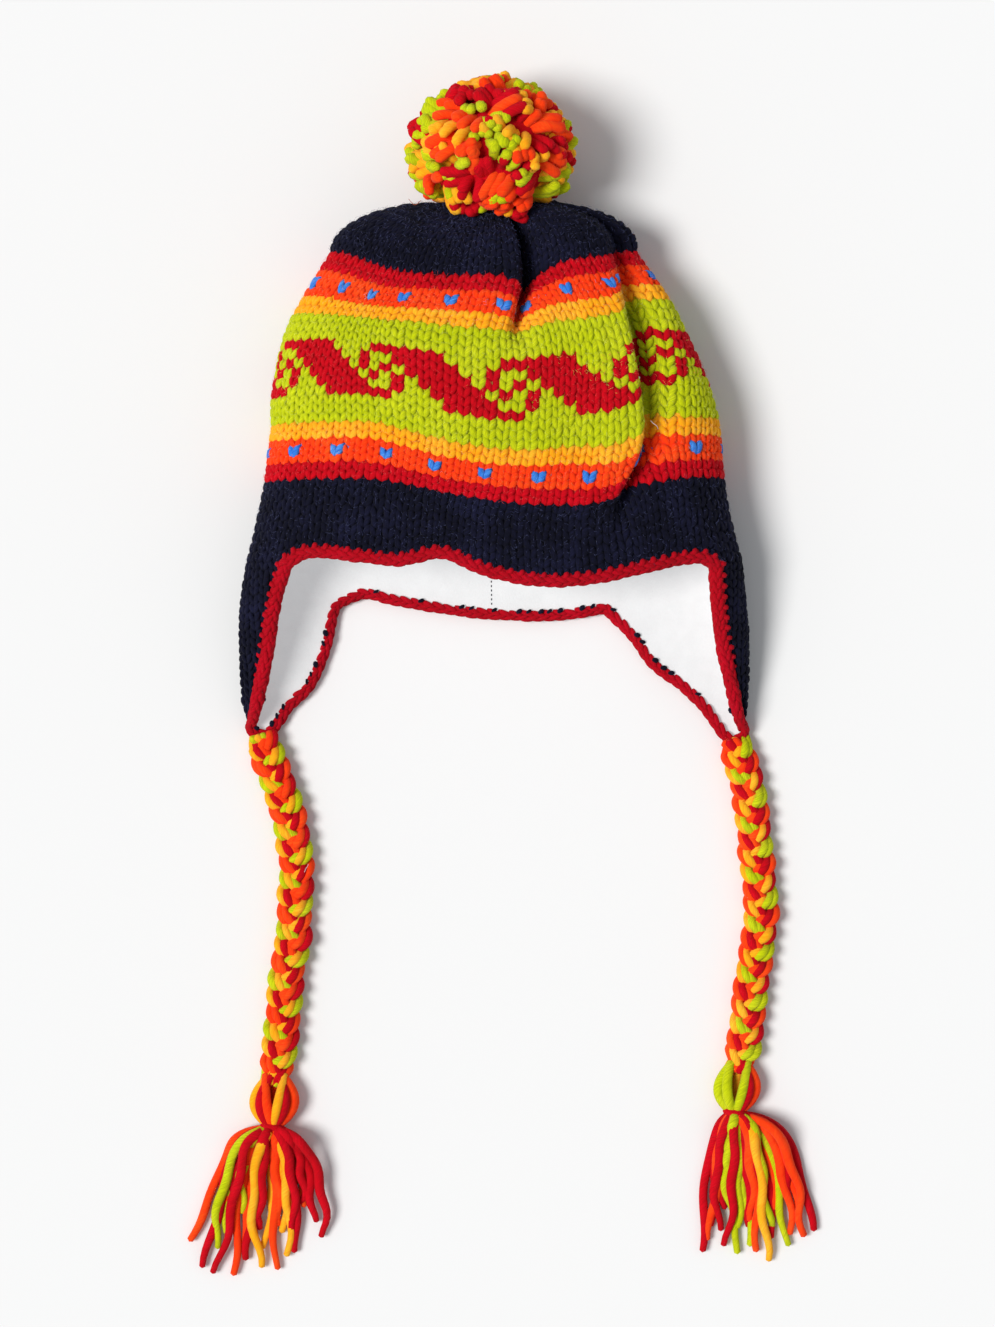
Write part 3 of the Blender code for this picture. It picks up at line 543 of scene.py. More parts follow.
# Each end's tip from the knot's middle in mm, its yarn, and how far its middle bows to the right
LEFT_STRANDS = table_of(
    Strand,
    (-44, -70, ORANGE, 5), (-35, -84, RED, -2), (-30, -74, LIME, -6), (-29, -87, RED, 3),
    (-24, -66, LIME, -5), (-20, -88, ORANGE, -4), (-13, -80, RED, 2), (-6, -84, AMBER, -9),
    (-3, -74, AMBER, 4), (2, -85, ORANGE, 1), (9, -78, AMBER, 3), (12, -70, RED, 4),
    (-16, -72, ORANGE, 2), (14, -76, RED, 1), (22, -60, RED, 6), (28, -68, RED, 9),
    (18, -52, ORANGE, 5), (-22, -54, RED, -4), (5, -62, ORANGE, -2), (-8, -64, RED, -3),
)
RIGHT_STRANDS = table_of(
    Strand,
    (-17, -83, RED, -3), (-12, -77, ORANGE, -1), (-8, -72, RED, -5), (-3, -80, RED, 3),
    (2, -84, LIME, 2), (9, -80, LIME, -2), (13, -83, ORANGE, 3), (18, -88, AMBER, 2), (22, -76, RED, 1),
    (28, -80, LIME, 4), (31, -74, ORANGE, 5), (37, -75, ORANGE, 8), (41, -72, RED, 9),
    (6, -66, AMBER, -3), (-2, -62, LIME, -4), (14, -60, RED, 2), (24, -64, RED, 4),
    (33, -62, ORANGE, 7), (10, -70, RED, -2), (19, -70, LIME, 1),
)
# Each yarn of a bulge in mm: where it leaves the plait, how far it bows out and up, and its radius
BulgeYarn = namedtuple("BulgeYarn", "start side height radius yarn")
LEFT_BULGE = table_of(
    BulgeYarn,
    (-2.0, -6.0, -3.5, 2.9, LIME), (2.0, 6.5, -3.5, 2.9, RED), (0, 0, -4.0, 3.0, ORANGE),
    (-3.0, -9.4, 0.8, 2.5, AMBER), (3.5, 9.2, 0.8, 3.0, ORANGE), (-1.5, -6.2, 4.6, 2.9, RED),
    (2.0, 5.2, 4.8, 2.7, RED), (-5.0, -1.8, 5.6, 2.7, ORANGE), (5.0, 0.6, 6.6, 2.5, AMBER),
)
RIGHT_BULGE = table_of(
    BulgeYarn,
    (-2.0, -5.5, -3.5, 2.8, ORANGE), (2.0, 5.5, -3.5, 2.8, RED), (0, 0, -4.0, 2.9, AMBER),
    (-3.5, -8.6, 0.8, 2.9, LIME), (3.0, 8.6, 0.8, 2.7, ORANGE), (-4.5, -4.0, 4.8, 2.8, LIME),
    (1.5, 5.2, 4.6, 2.7, RED), (4.5, 0.8, 6.4, 2.6, LIME),
)
STRAND_RADIUS = 0.0026
STRAND_LAYERS = 4
LAYER_HEIGHT = 0.0027
SHOULDER_SHARE = 0.46  # how much of an end's way out to the side lies in its shoulder
SHOULDER_LENGTH = 0.055  # as a share of the end's own length
END_HEIGHT = 0.0030  # how high an end's middle lies when it rests on the table
HUMP_HEIGHT, HUMP_AT, HUMP_REACH = 0.0050, 0.14, 0.12  # where the ends come over the shoulder
BOW_SHARE = 0.6
STRAND_WAVE = 0.0019
NECK_FROM_KNOT = (0.001, -0.0105)
NECK_HEIGHT = 0.0075
WRAP_RADIUS = 0.0019
WRAP_REACH = (0.0048, 0.0042)
WRAP_RISE = 0.0006  # along the neck, to a radian of turn


def strand_paths(knot, neck, strands):
    """A curved path for each loose end: out over a round shoulder first, then down over the table."""
    paths, radii = [], []
    t = np.linspace(0, 1, 28) ** 1.5
    for number, strand in enumerate(strands):
        tip = np.array([knot[0] + strand.x / 1000, knot[1] + strand.y / 1000, 0])
        layer = number % STRAND_LAYERS
        reach = tip - neck
        shoulder = SHOULDER_SHARE * (1 - np.exp(-t / SHOULDER_LENGTH))
        spread = shoulder + (1 - shoulder[-1]) * t**1.1
        fall = 0.72 * t + 0.28 * t**1.5
        bow = np.sin(math.pi * t) * strand.bend / 1000 * BOW_SHARE
        wave = STRAND_WAVE * np.sin(2 * math.pi * t * (1.4 + 0.3 * layer) + number) * t
        line = np.stack([neck[0] + reach[0] * spread + bow + wave, neck[1] + reach[1] * fall, 0 * t], 1)
        high = END_HEIGHT + LAYER_HEIGHT * layer * (1 - t) ** 0.6
        high = high + HUMP_HEIGHT * hill(t, HUMP_AT, HUMP_REACH)
        line[:, 2] = np.where(t < 0.03, neck[2], high)
        paths.append(line)
        radii.append(STRAND_RADIUS * (1 - 0.35 * t**3) * (1 + 0.07 * np.sin(9 * t + number)))
    return np.array(paths), np.array(radii)


def bulge_paths(top, neck, yarns):
    """Yarns that leave the plait from inside it, part round a bulge and meet at the neck."""
    t = np.linspace(0, 1, 18)
    swell = np.sin(math.pi * t**1.12) ** 0.85
    paths = []
    for yarn in yarns:
        path = top + (neck - top) * t[:, None]
        path[:, 0] += (yarn.start * (1 - t) ** 1.4 + yarn.side * swell) / 1000
        path[:, 2] += yarn.height * swell / 1000
        paths.append(above_table(path, yarn.radius / 1000))
    radii = np.array([[yarn.radius] for yarn in yarns]) / 1000 * (0.74 + 0.26 * swell)
    return np.array(paths), radii


def tassel(name, knot, line, strands, bulge, node):
    """The bulge under the plait, the yarn that cinches it, and the loose ends in two lengths."""
    neck = np.array([knot[0] + NECK_FROM_KNOT[0], knot[1] + NECK_FROM_KNOT[1], NECK_HEIGHT])
    paths, radii = bulge_paths(line[-8], neck, bulge)
    parts = [tubes(paths, radii, UP, [yarn.yarn for yarn in bulge], sides=8)]
    turn = np.linspace(0, 2 * math.pi * 1.15, 20)
    wrap = neck + np.stack([WRAP_REACH[0] * np.cos(turn), WRAP_RISE * turn, WRAP_REACH[1] * np.sin(turn)], 1)
    parts.append(tubes(wrap[None], np.full((1, 20), WRAP_RADIUS), np.array([0, 1.0, 0]), [RED], sides=8))
    hidden = [strand._replace(x=strand.x * 0.7 + 1, y=strand.y * 0.84) for strand in strands[::2]]
    strands = (*strands, *hidden)
    paths, radii = strand_paths(knot, neck, strands)
    parts.append(tubes(paths, radii, UP, [strand.yarn for strand in strands], sides=8, flatness=0.8))
    return make_piece(name, parts, YARNS, node)


left_fringe = tassel("left_fringe", LEFT_KNOT, left_line, LEFT_STRANDS, LEFT_BULGE, "left_tassel")
right_fringe = tassel("right_fringe", RIGHT_KNOT, right_line, RIGHT_STRANDS, RIGHT_BULGE, "right_tassel")

# %% [markdown]
# ## The hat's surface
# The knitted wall is a soft bag lying on its back, with two folds pressed into its front. The CAD
# source describes it by sections at chosen rows of knitting; the same tables are used here, so the
# stitches lie exactly on the wall that the model is checked with.

# %% Surface tables
HALF_WIDTH = 0.1333
RIM_Y = -0.0772
CROWN_LENGTH = 0.1850
FLAP_LENGTH = 0.0900
LYING_HEIGHT = 0.0740
FRONT_SAG = 0.0150
BACK_SAG = 0.0255
FOLD_DEPTH = 0.0130
FOLD_WIDTH = 0.0095
GATHER_DEPTH = 0.0012
LINING_DEPTH = 0.0045
FRONT_STITCHES = 43
BACK_STITCHES = 37
ROUND = FRONT_STITCHES + BACK_STITCHES
SHOULDER_ROW = 34
APEX_ROW = 46
GATHERS = 10
FRONT_RIM = (4.6, 39.6)
BACK_RIM = (54.0, 70.5)
SECTION_POINTS = 361
APEX_X_SHARE = -0.012
APEX_HEIGHT_SHARE = 0.53
BACK_SAG_AT = 0.17
BACK_SQUARENESS = 3.0
BACK_PRESS = 1.06
FLAP_CURL = math.radians(70)
FLAP_TIP_CURL = math.radians(-75)

Section = namedtuple(
    "Section", "row left_x left_y right_x right_y equator top sag sag_at sag_span back_sag"
)
SECTIONS = table_of(
    Section,
    (0, -0.968, 0.000, 0.973, 0.000, 0.38, 0.93, 0.72, 0.24, 0.78, 1.00),
    (4, -0.930, 0.112, 0.930, 0.115, 0.40, 0.97, 0.80, 0.22, 0.77, 0.95),
    (8, -0.898, 0.226, 0.902, 0.235, 0.40, 1.00, 0.90, 0.20, 0.75, 0.90),
    (15, -0.871, 0.383, 0.879, 0.402, 0.41, 1.00, 0.95, 0.12, 0.75, 0.80),
    (18, -0.871, 0.458, 0.846, 0.494, 0.41, 1.00, 1.00, 0.10, 0.75, 0.75),
    (24, -0.828, 0.620, 0.756, 0.648, 0.42, 0.98, 0.93, 0.10, 0.80, 0.60),
    (27, -0.785, 0.698, 0.693, 0.737, 0.43, 0.95, 0.90, 0.05, 0.85, 0.50),
    (34, -0.640, 0.874, 0.560, 0.874, 0.46, 0.86, 1.05, -0.10, 1.05, 0.35),
)
Fold = namedtuple("Fold", "row at depth lip drop")
SIDE_PLEAT = table_of(
    Fold,
    (3, 0.46, 0.00, 0.00, 0.00),
    (6, 0.49, 0.25, 0.10, -0.05),
    (8, 0.52, 0.55, 0.20, -0.20),
    (13, 0.62, 0.85, 0.32, -0.34),
    (18, 0.66, 0.95, 0.34, -0.34),
    (24, 0.70, 1.00, 0.32, -0.26),
    (29, 0.75, 0.85, 0.28, -0.15),
    (34, 0.80, 0.60, 0.20, 0.00),
)
CROWN_TUCK = table_of(
    Fold,
    (25, 0.12, 0.00, 0.00, 0.00),
    (27, 0.13, 0.35, 0.08, 0.20),
    (30, 0.16, 0.80, 0.20, 0.60),
    (34, 0.22, 1.05, 0.30, 0.90),
)
RimLift = namedtuple("RimLift", "row rise")
RIM_LIFT = table_of(
    RimLift,
    (4.6, 0.0), (6.5, 1.2), (11.0, 0.7), (14.0, 0.5), (17.5, 1.9), (21.0, 0.8), (27.0, 0.3),
    (34.0, 0.7), (38.2, 0.9), (39.6, 0.0),
)
Flap = namedtuple("Flap", "row front_x front_y front_z side_x side_y side_z back_x back_y")
LEFT_FLAP = table_of(
    Flap,
    (0.22, -0.861, 0.216, 0.54, -0.994, 0.231, 0.35, -0.638, 0.226),
    (0.46, -0.896, 0.463, 0.42, -1.000, 0.462, 0.29, -0.677, 0.472),
    (0.69, -0.935, 0.690, 0.29, -0.996, 0.680, 0.20, -0.737, 0.695),
    (0.84, -0.951, 0.835, 0.20, -0.984, 0.841, 0.12, -0.820, 0.819),
    (0.97, -0.958, 0.945, 0.02, -0.944, 0.972, 0.01, -0.882, 0.955),
)
RIGHT_FLAP = table_of(
    Flap,
    (0.22, 0.886, 0.226, 0.54, 0.988, 0.231, 0.35, 0.567, 0.419),
    (0.46, 0.909, 0.463, 0.42, 1.000, 0.462, 0.29, 0.647, 0.578),
    (0.68, 0.950, 0.677, 0.29, 1.003, 0.677, 0.20, 0.758, 0.701),
    (0.84, 0.968, 0.829, 0.20, 0.998, 0.841, 0.12, 0.841, 0.825),
    (1.00, 0.987, 0.975, 0.02, 0.974, 1.000, 0.01, 0.920, 0.990),
)

# %% Surface of the crown
def read_between(table, row):
    """A table's values at a row between its own rows, along a smooth curve."""
    rows = [entry.row for entry in table]
    if row <= rows[0]:
        return table[0]
    if row >= rows[-1]:
        return table[-1]
    below = max(index for index, value in enumerate(rows) if value <= row)
    values = np.array([list(entry) for entry in table], float)

    def slope(index):
        first, last = max(0, index - 1), min(len(rows) - 1, index + 1)
        return (values[last] - values[first]) / (rows[last] - rows[first])

    span = rows[below + 1] - rows[below]
    t = (row - rows[below]) / span
    return type(table[0])(*blend_curve(
        t, values[below], span * slope(below), values[below + 1], span * slope(below + 1)))


def bell(share, at, reach):
    return np.cos(np.clip((share - at) / reach, -1, 1) * math.pi / 2) ** 2


def folds_at(row):
    """The folds that reach a row of knitting."""
    return [(table, read_between(table, row)) for table in (SIDE_PLEAT, CROWN_TUCK) if row >= table[0].row]


def fold_front(x, y, z, middle, half_width, row):
    """Presses the two folds into a front section: a valley, and a lip on its left.

    Where a hill stands and how wide it is are in fold widths from the valley's middle.
    """
    for _, fold in folds_at(row):
        away = (x - middle - fold.at * half_width) / FOLD_WIDTH
        z = z - FOLD_DEPTH * fold.depth * hill(away, 0.6, 1) + FOLD_DEPTH * fold.lip * hill(away, -1.2, 1.3)
        y = y - FOLD_DEPTH * fold.drop * hill(away, 0.5, 1.2)
        x = x + 0.45 * FOLD_WIDTH * fold.depth * hill(away, 0, 1)
    return x, y, z


def section_at(row):
    """The wall's outside at a row up to the shoulder: its front and its back, each left to right."""
    section = read_between(SECTIONS, row)
    left, right = section.left_x * HALF_WIDTH, section.right_x * HALF_WIDTH
    left_y = RIM_Y + section.left_y * CROWN_LENGTH
    right_y = RIM_Y + section.right_y * CROWN_LENGTH
    middle, half_width = (left + right) / 2, (right - left) / 2
    equator, top = section.equator * LYING_HEIGHT, section.top * LYING_HEIGHT
    angle = np.linspace(0, math.pi, SECTION_POINTS)
    share = -np.cos(angle)
    chord = left_y + (right_y - left_y) * (share + 1) / 2
    sag = bell(share, section.sag_at, section.sag_span) * np.sin(angle) ** 0.5
    x = middle + half_width * share
    y = chord - FRONT_SAG * section.sag * sag
    z = equator + (top - equator) * np.sin(angle)
    front = np.stack(fold_front(x, y, z, middle, half_width, row), 1)
    power = 2 / BACK_SQUARENESS
    back_share = np.sign(share) * np.abs(share) ** power
    reach = np.where(back_share > BACK_SAG_AT, 1 - BACK_SAG_AT, 1 + BACK_SAG_AT)
    droop = np.cos((back_share - BACK_SAG_AT) / reach * math.pi / 2) ** 1.2
    y = left_y + (right_y - left_y) * (back_share + 1) / 2 - BACK_SAG * section.back_sag * droop
    z = np.maximum(equator * (1 - BACK_PRESS * np.sin(angle) ** power), 0)
    back = np.stack([middle + half_width * back_share, y, z], 1)
    return front, back


def sharpen_folds(points, row):
    """Lets each fold's soft lip hang over its valley, which a wall of even thickness can't."""
    section = read_between(SECTIONS, row)
    middle = (section.left_x + section.right_x) / 2 * HALF_WIDTH
    half_width = (section.right_x - section.left_x) / 2 * HALF_WIDTH
    points = points.copy()
    front = points[:, 2] > section.equator * LYING_HEIGHT
    for fold_table, fold in folds_at(row):
        away = (points[:, 0] - middle - fold.at * half_width) / FOLD_WIDTH
        strength = fold.depth * front
        lip, tuck = 0.30 * hill(away, -0.15, 0.5), 0.75 * hill(away, 1.05, 0.75)
        points[:, 0] += FOLD_WIDTH * strength * (lip - tuck)
        points[:, 2] += 0.25 * FOLD_DEPTH * strength * hill(away, -0.1, 0.6)
        points[:, 2] -= 0.45 * FOLD_DEPTH * strength * hill(away, 0.85, 0.4)
        if fold_table is SIDE_PLEAT:
            reach = np.where(away < -0.8, 2.6, 1.9)
            points[:, 1] -= PLEAT_DROP * strength**1.5 * hill(away, -0.8, reach)
    return points


# Where the soft wall sags further down than its sections say: a row and stitch, and how far in mm
Settle = namedtuple("Settle", "row stitch rows stitches drop")
SETTLED = table_of(
    Settle,
    (31, 8.5, 5.5, 5.0, 6.0), (12, 16.0, 6.0, 4.5, 3.8), (23, 13.0, 5.0, 5.0, 3.2),
    (18, 25.0, 9.0, 5.5, 3.0), (13, 31.0, 5.0, 2.5, 2.5),
)


def settle(points, row, stitches):
    points = points.copy()
    for place in SETTLED:
        away = ((row - place.row) / place.rows) ** 2 + ((stitches - place.stitch) / place.stitches) ** 2
        points[:, 1] -= place.drop / 1000 * np.exp(-away)
    return points


def ring_at(row, stitches):
    front, back = section_at(row)
    round_hat = np.asarray(stitches) % ROUND
    front_points = at_shares(front, np.clip(round_hat / FRONT_STITCHES, 0, 1))
    back_points = at_shares(back, np.clip(1 - (round_hat - FRONT_STITCHES) / BACK_STITCHES, 0, 1))
    return np.where((round_hat <= FRONT_STITCHES)[:, None], front_points, back_points)


def cap_ring(row, ring, middle, end, stitches):
    """A ring above the shoulder, drawn in to the gathered top along a quarter ellipse."""
    turn = (row - SHOULDER_ROW) / (APEX_ROW - SHOULDER_ROW) * math.pi / 2
    centre = middle + (end - middle) * math.sin(turn)
    gather = 0.5 - 0.5 * np.cos(2 * math.pi * GATHERS * stitches / ROUND)
    outward = unit(ring - middle)
    drawn = centre + (ring - middle) * math.cos(turn)
    return drawn - outward * (GATHER_DEPTH * math.sin(2 * turn) * gather)[:, None]


ROW_STEP = 0.25
STITCH_STEP = 0.25
PLEAT_DROP = 0.0080  # how far the bands hang down beside the pleat
grid_stitches = np.arange(0, ROUND, STITCH_STEP)
body_rows = np.arange(0, SHOULDER_ROW + ROW_STEP / 2, ROW_STEP)
cap_rows = np.arange(SHOULDER_ROW + ROW_STEP, APEX_ROW, ROW_STEP)
plain = np.array([
    settle(sharpen_folds(ring_at(row, grid_stitches), row), row, grid_stitches) for row in body_rows
])
rise = np.array([
    read_between(RIM_LIFT, s).rise if FRONT_RIM[0] < s < FRONT_RIM[1] else 0.0 for s in grid_stitches
])
lifted = body_rows[:, None] + rise * np.clip(1 - body_rows[:, None] / 8, 0, None)
cell = np.clip(lifted / ROW_STEP, 0, len(body_rows) - 1.001)
low = cell.astype(int)
share = (cell - low)[..., None]
column = np.arange(len(grid_stitches))
body_grid = mix(plain[low, column], plain[low + 1, column], share)
shoulder = plain[-1]
shoulder_middle = (shoulder.max(0) + shoulder.min(0)) / 2
crown_end = np.array([APEX_X_SHARE * HALF_WIDTH, RIM_Y + CROWN_LENGTH, APEX_HEIGHT_SHARE * LYING_HEIGHT])
cap_grid = np.array([cap_ring(row, shoulder, shoulder_middle, crown_end, grid_stitches) for row in cap_rows])
crown_grid = np.concatenate([body_grid, cap_grid])
around = np.roll(crown_grid, -1, 1) - np.roll(crown_grid, 1, 1)
crown_normals = unit(np.cross(around, np.gradient(crown_grid, axis=0)))


def read_grid(grid, row, stitch):
    """Values of a crown grid at any rows and stitches."""
    r = np.clip(np.asarray(row) / ROW_STEP, 0, len(grid) - 1.001)
    s = (np.asarray(stitch) % ROUND) / STITCH_STEP
    r0, s0 = r.astype(int), s.astype(int) % grid.shape[1]
    fr, fs = (r - r0)[..., None], (s - np.floor(s))[..., None]
    s1 = (s0 + 1) % grid.shape[1]
    return mix(*[mix(grid[r1, s0], grid[r1, s1], fs) for r1 in (r0, r0 + 1)], fr)


def crown_at(row, stitch, depth):
    points = read_grid(crown_grid, row, stitch)
    normals = unit(read_grid(crown_normals, row, stitch))
    return points - normals * np.asarray(depth)[..., None], normals


print("crown grid:", crown_grid.shape, "round the rim:", round(1000 * length_of(crown_grid[0])), "mm")

# %% Surface of the flaps
FLAP_REACH = np.array([HALF_WIDTH, -FLAP_LENGTH, LYING_HEIGHT])


def flap_station(corners):
    """A flap's front, side and back points as shares of the hat's lengths."""
    front, side, back = (corners - [0, RIM_Y, 0]) / FLAP_REACH
    return Flap(0.0, *front, *side, *back[:2])


def flap_corners(flap):
    """A flap's front, side and back points in metres; the back one lies on the table."""
    return np.array([flap[1:4], flap[4:7], (*flap[7:], 0)]) * FLAP_REACH + [0, RIM_Y, 0]


def flap_surface(table, stitches):
    """Rings of a flap from the rim to its tip, with the directions out of the wall."""
    rim = read_grid(crown_grid, np.zeros(len(stitches)), stitches)
    rim_normals = unit(read_grid(crown_normals, np.zeros(len(stitches)), stitches))
    rim_corners = rim[[0, SIDE_POINT, -1]]
    stations = (flap_station(rim_corners), *table)
    plane = np.linalg.inv(np.stack([rim_corners[:, 0], rim_corners[:, 2], np.ones(3)]))
    arc = plane @ np.stack([rim[:, 0], rim[:, 2], np.ones(len(rim))])
    rings = []
    for share in FLAP_SHARES:
        ring = arc.T @ flap_corners(read_between(stations, share * table[-1].row))
        rings.append(above_table(ring, 0))
    rings[0] = rim
    rings = np.array(rings)
    normals = unit(np.cross(np.gradient(rings, axis=1), np.gradient(rings, axis=0)))
    if (normals[1] * rim_normals).sum() < 0:
        normals = -normals
    outward = math.copysign(1, rim[0][0])
    for index, share in enumerate(FLAP_SHARES):
        along = distances(rings[index])
        front_angle = FLAP_CURL + (FLAP_TIP_CURL - FLAP_CURL) * share**2.2
        angle = front_angle + (-math.pi / 2 - front_angle) * along / along[-1]
        even = np.stack([outward * np.cos(angle), 0 * angle, np.sin(angle)], 1)
        weight = min(1.0, max(0.0, (share - 0.3) / 0.4))
        normals[index] = unit((1 - weight) * normals[index] + weight * even)
    blend = np.clip(1 - np.arange(len(rings)) / 6, 0, 1)[:, None, None]
    normals = unit(normals * (1 - blend) + rim_normals * blend)
    return rings, normals


SIDE_POINT = 24  # of a flap ring's points, the one at the side of the hat
FLAP_SHARES = 1 - (1 - np.linspace(0, 1, 41)) ** 1.2
left_stitches = np.concatenate([np.linspace(FRONT_RIM[0], 0, SIDE_POINT, endpoint=False),
                                np.linspace(ROUND, BACK_RIM[1], 49)])
right_stitches = np.concatenate([np.linspace(FRONT_RIM[1], FRONT_STITCHES, SIDE_POINT, endpoint=False),
                                 np.linspace(FRONT_STITCHES, BACK_RIM[0], 45)])
left_flap, left_flap_normals = flap_surface(LEFT_FLAP, left_stitches)
right_flap, right_flap_normals = flap_surface(RIGHT_FLAP, right_stitches)
# Each flap's rings, its normals, and whether its points run the other way round than the crown's
FLAPS = ((left_flap, left_flap_normals, True), (right_flap, right_flap_normals, False))
print("flap grids:", left_flap.shape, right_flap.shape)

# %% [markdown]
# ## The knitting
# The wall is stocking stitch: each stitch shows as a V of two plump legs, and the V of one row
# grows out of the V below it. Bump mapping could draw this, but the legs are 3 mm thick and catch
# the light, so every leg is a real little tube. The colour of each stitch is read from a chart,
# as a knitter reads it: plain bands, a running-wave motif over ten stitches, and blue single
# stitches every fourth column.

# %% Chart
Band = namedtuple("Band", "last_row yarn")
BANDS = table_of(
    Band,
    (8, NAVY), (10, RED), (13, ORANGE), (15, AMBER), (18, LIME), (24, LIME), (27, LIME), (29, AMBER),
    (32, ORANGE), (34, RED), (46, NAVY),
)
WAVE_FIRST_ROW = 18
WAVE = (
    ". R R R R R R . . .",
    "R . . R R R R R . .",
    "R . R . R R R R R .",
    ". R . R . R R R R R",
    "R . . R . . R R R R",
    "R R R . . . . R R R",
)
DOT_ROWS = (11, 30)
DOT_SPACING = 4
PLEAT_COLUMN = 33
BACK_COLUMN = 62
HIDDEN_COLUMNS = 6  # from the pleat on, the chart skips this many; they come back at the back column
# Where chosen columns of stitches lie round the wall at the lower and the upper dots: the pleat
# and the tuck hold some of them out of sight.
ColumnPlace = namedtuple("ColumnPlace", "column low high")
COLUMN_PLACES = table_of(
    ColumnPlace,
    (0, 0.3, 1.3), (4, 4.1, 5.4), (8, 8.0, 8.6), (12, 12.1, 11.8), (16, 16.1, 16.8), (20, 20.1, 22.0),
    (24, 24.4, 26.9), (28, 28.4, 31.0), (32, 33.1, 35.6), (33, 33.7, 36.4), (34, 34.5, 37.4),
    (38, 38.9, 42.3), (42, 43.0, 45.6), (62, 61.6, 63.0), (80, 80.3, 81.3),
)


def chart_yarn(row, column):
    """The yarn of one stitch of the crown."""
    if PLEAT_COLUMN <= column < BACK_COLUMN:
        column += HIDDEN_COLUMNS
    if row in DOT_ROWS and column % DOT_SPACING == 0:
        return BLUE
    if WAVE_FIRST_ROW <= row < WAVE_FIRST_ROW + len(WAVE):
        line = WAVE[len(WAVE) - 1 - (row - WAVE_FIRST_ROW)].split()
        if line[column % 10] == "R":
            return RED
    return next(band.yarn for band in BANDS if row < band.last_row)


def stitch_place(row, column):
    """Where a column lies round the wall, in stitches of the CAD wall, at a row."""
    columns = np.array([place.column for place in COLUMN_PLACES], float)
    low = np.array([place.low for place in COLUMN_PLACES])
    high = np.array([place.high for place in COLUMN_PLACES])
    wrapped = np.asarray(column, float)
    lap = np.floor(wrapped / ROUND)
    inside = wrapped - lap * ROUND
    t = np.clip((np.asarray(row, float) - DOT_ROWS[0]) / (DOT_ROWS[1] - DOT_ROWS[0]), 0, 1)
    t = t * t * (3 - 2 * t)
    return np.interp(inside, columns, low) * (1 - t) + np.interp(inside, columns, high) * t + lap * ROUND


print("chart rows:", [chart_yarn(row, 1) for row in range(46)])

# %% Stitches of the crown
STITCH_WIDTH = 0.0064
STITCH_LOWEST = 0.0012
STITCH_FLATNESS = 0.72
# The blue single stitches are taller and plumper by these shares, and stand out by this many metres
BLUE_TALLER, BLUE_PLUMPER, BLUE_PROUDER = 1.35, 1.12, 0.0004
# A right leg in its own cell: share of a column, share of a row, depth and radius in mm
LEG = np.array([
    (0.05, -0.40, 2.6, 0.90),
    (0.11, -0.14, 1.40, 1.45),
    (0.22, 0.18, 1.05, 1.74),
    (0.32, 0.54, 1.10, 1.70),
    (0.40, 0.88, 2.1, 1.15),
])


def legs_for(rows, columns, step):
    """Shares, depths and radii of both legs of each stitch, slightly uneven as hand knitting is."""
    count = len(rows)
    sway = rng.normal(0, 0.035, (count, 1))
    lift = rng.normal(0, 0.05, (count, 1))
    plump = 1 + rng.normal(0, 0.05, (count, 1))
    column, row, depth, radius = [], [], [], []
    for side in (-1, 1):
        lean = 1 + rng.normal(0, 0.06, (count, 1))
        column.append(columns[:, None] + (side * LEG[:, 0] * lean + sway) * step)
        row.append(rows[:, None] + 0.30 + LEG[:, 1] + lift)
        depth.append(np.broadcast_to(LEG[:, 2] / 1000, (count, 5)) + rng.normal(0, 0.00012, (count, 1)))
        radius.append(LEG[:, 3] / 1000 * plump)
    return [np.concatenate(values) for values in (column, row, depth, radius)]


def crown_stitches(first_row, last_row, step=1):
    """Tubes for the stitches of some rows, one to each column or to each few columns."""
    rows, columns = np.meshgrid(np.arange(first_row, last_row), np.arange(0, ROUND, step), indexing="ij")
    rows, columns = rows.ravel(), columns.ravel()
    yarns = np.array([chart_yarn(r, c) for r, c in zip(rows, columns)])
    column, row, depth, radius = legs_for(rows.astype(float), columns.astype(float), step)
    both = np.tile(yarns, 2)
    middles = np.tile(rows + 0.50, 2)[:, None]
    row = middles + (row - middles) * np.where(both == BLUE, BLUE_TALLER, 1.0)[:, None]
    row = np.clip(row, 0.02, APEX_ROW - 0.4)
    place = stitch_place(row, column)
    points, normals = crown_at(row, place, depth)
    here, _ = crown_at(rows + 0.3, stitch_place(rows, columns - 0.5 * step), 0)
    there, _ = crown_at(rows + 0.3, stitch_place(rows, columns + 0.5 * step), 0)
    width = np.linalg.norm(there - here, axis=1)
    plump = np.clip(np.tile(width, 2) / STITCH_WIDTH, 0.45, 1.12)[:, None]
    plump = plump * np.where(both == BLUE, BLUE_PLUMPER, 1.0)[:, None]
    points = points + normals * np.where(both == BLUE, BLUE_PROUDER, 0.0)[:, None, None]
    above_table(points, STITCH_LOWEST)
    return tubes(points, radius * plump, normals, both, flatness=STITCH_FLATNESS)


# %% Stitches of the flaps
FLAP_ROW = 0.0047
FLAP_MARGIN = 0.0018


def flap_lengths(rings):
    """How far round a flap each point of its rings is from the side of the hat."""
    lengths = distances(rings)
    return lengths - lengths[:, SIDE_POINT:SIDE_POINT + 1]


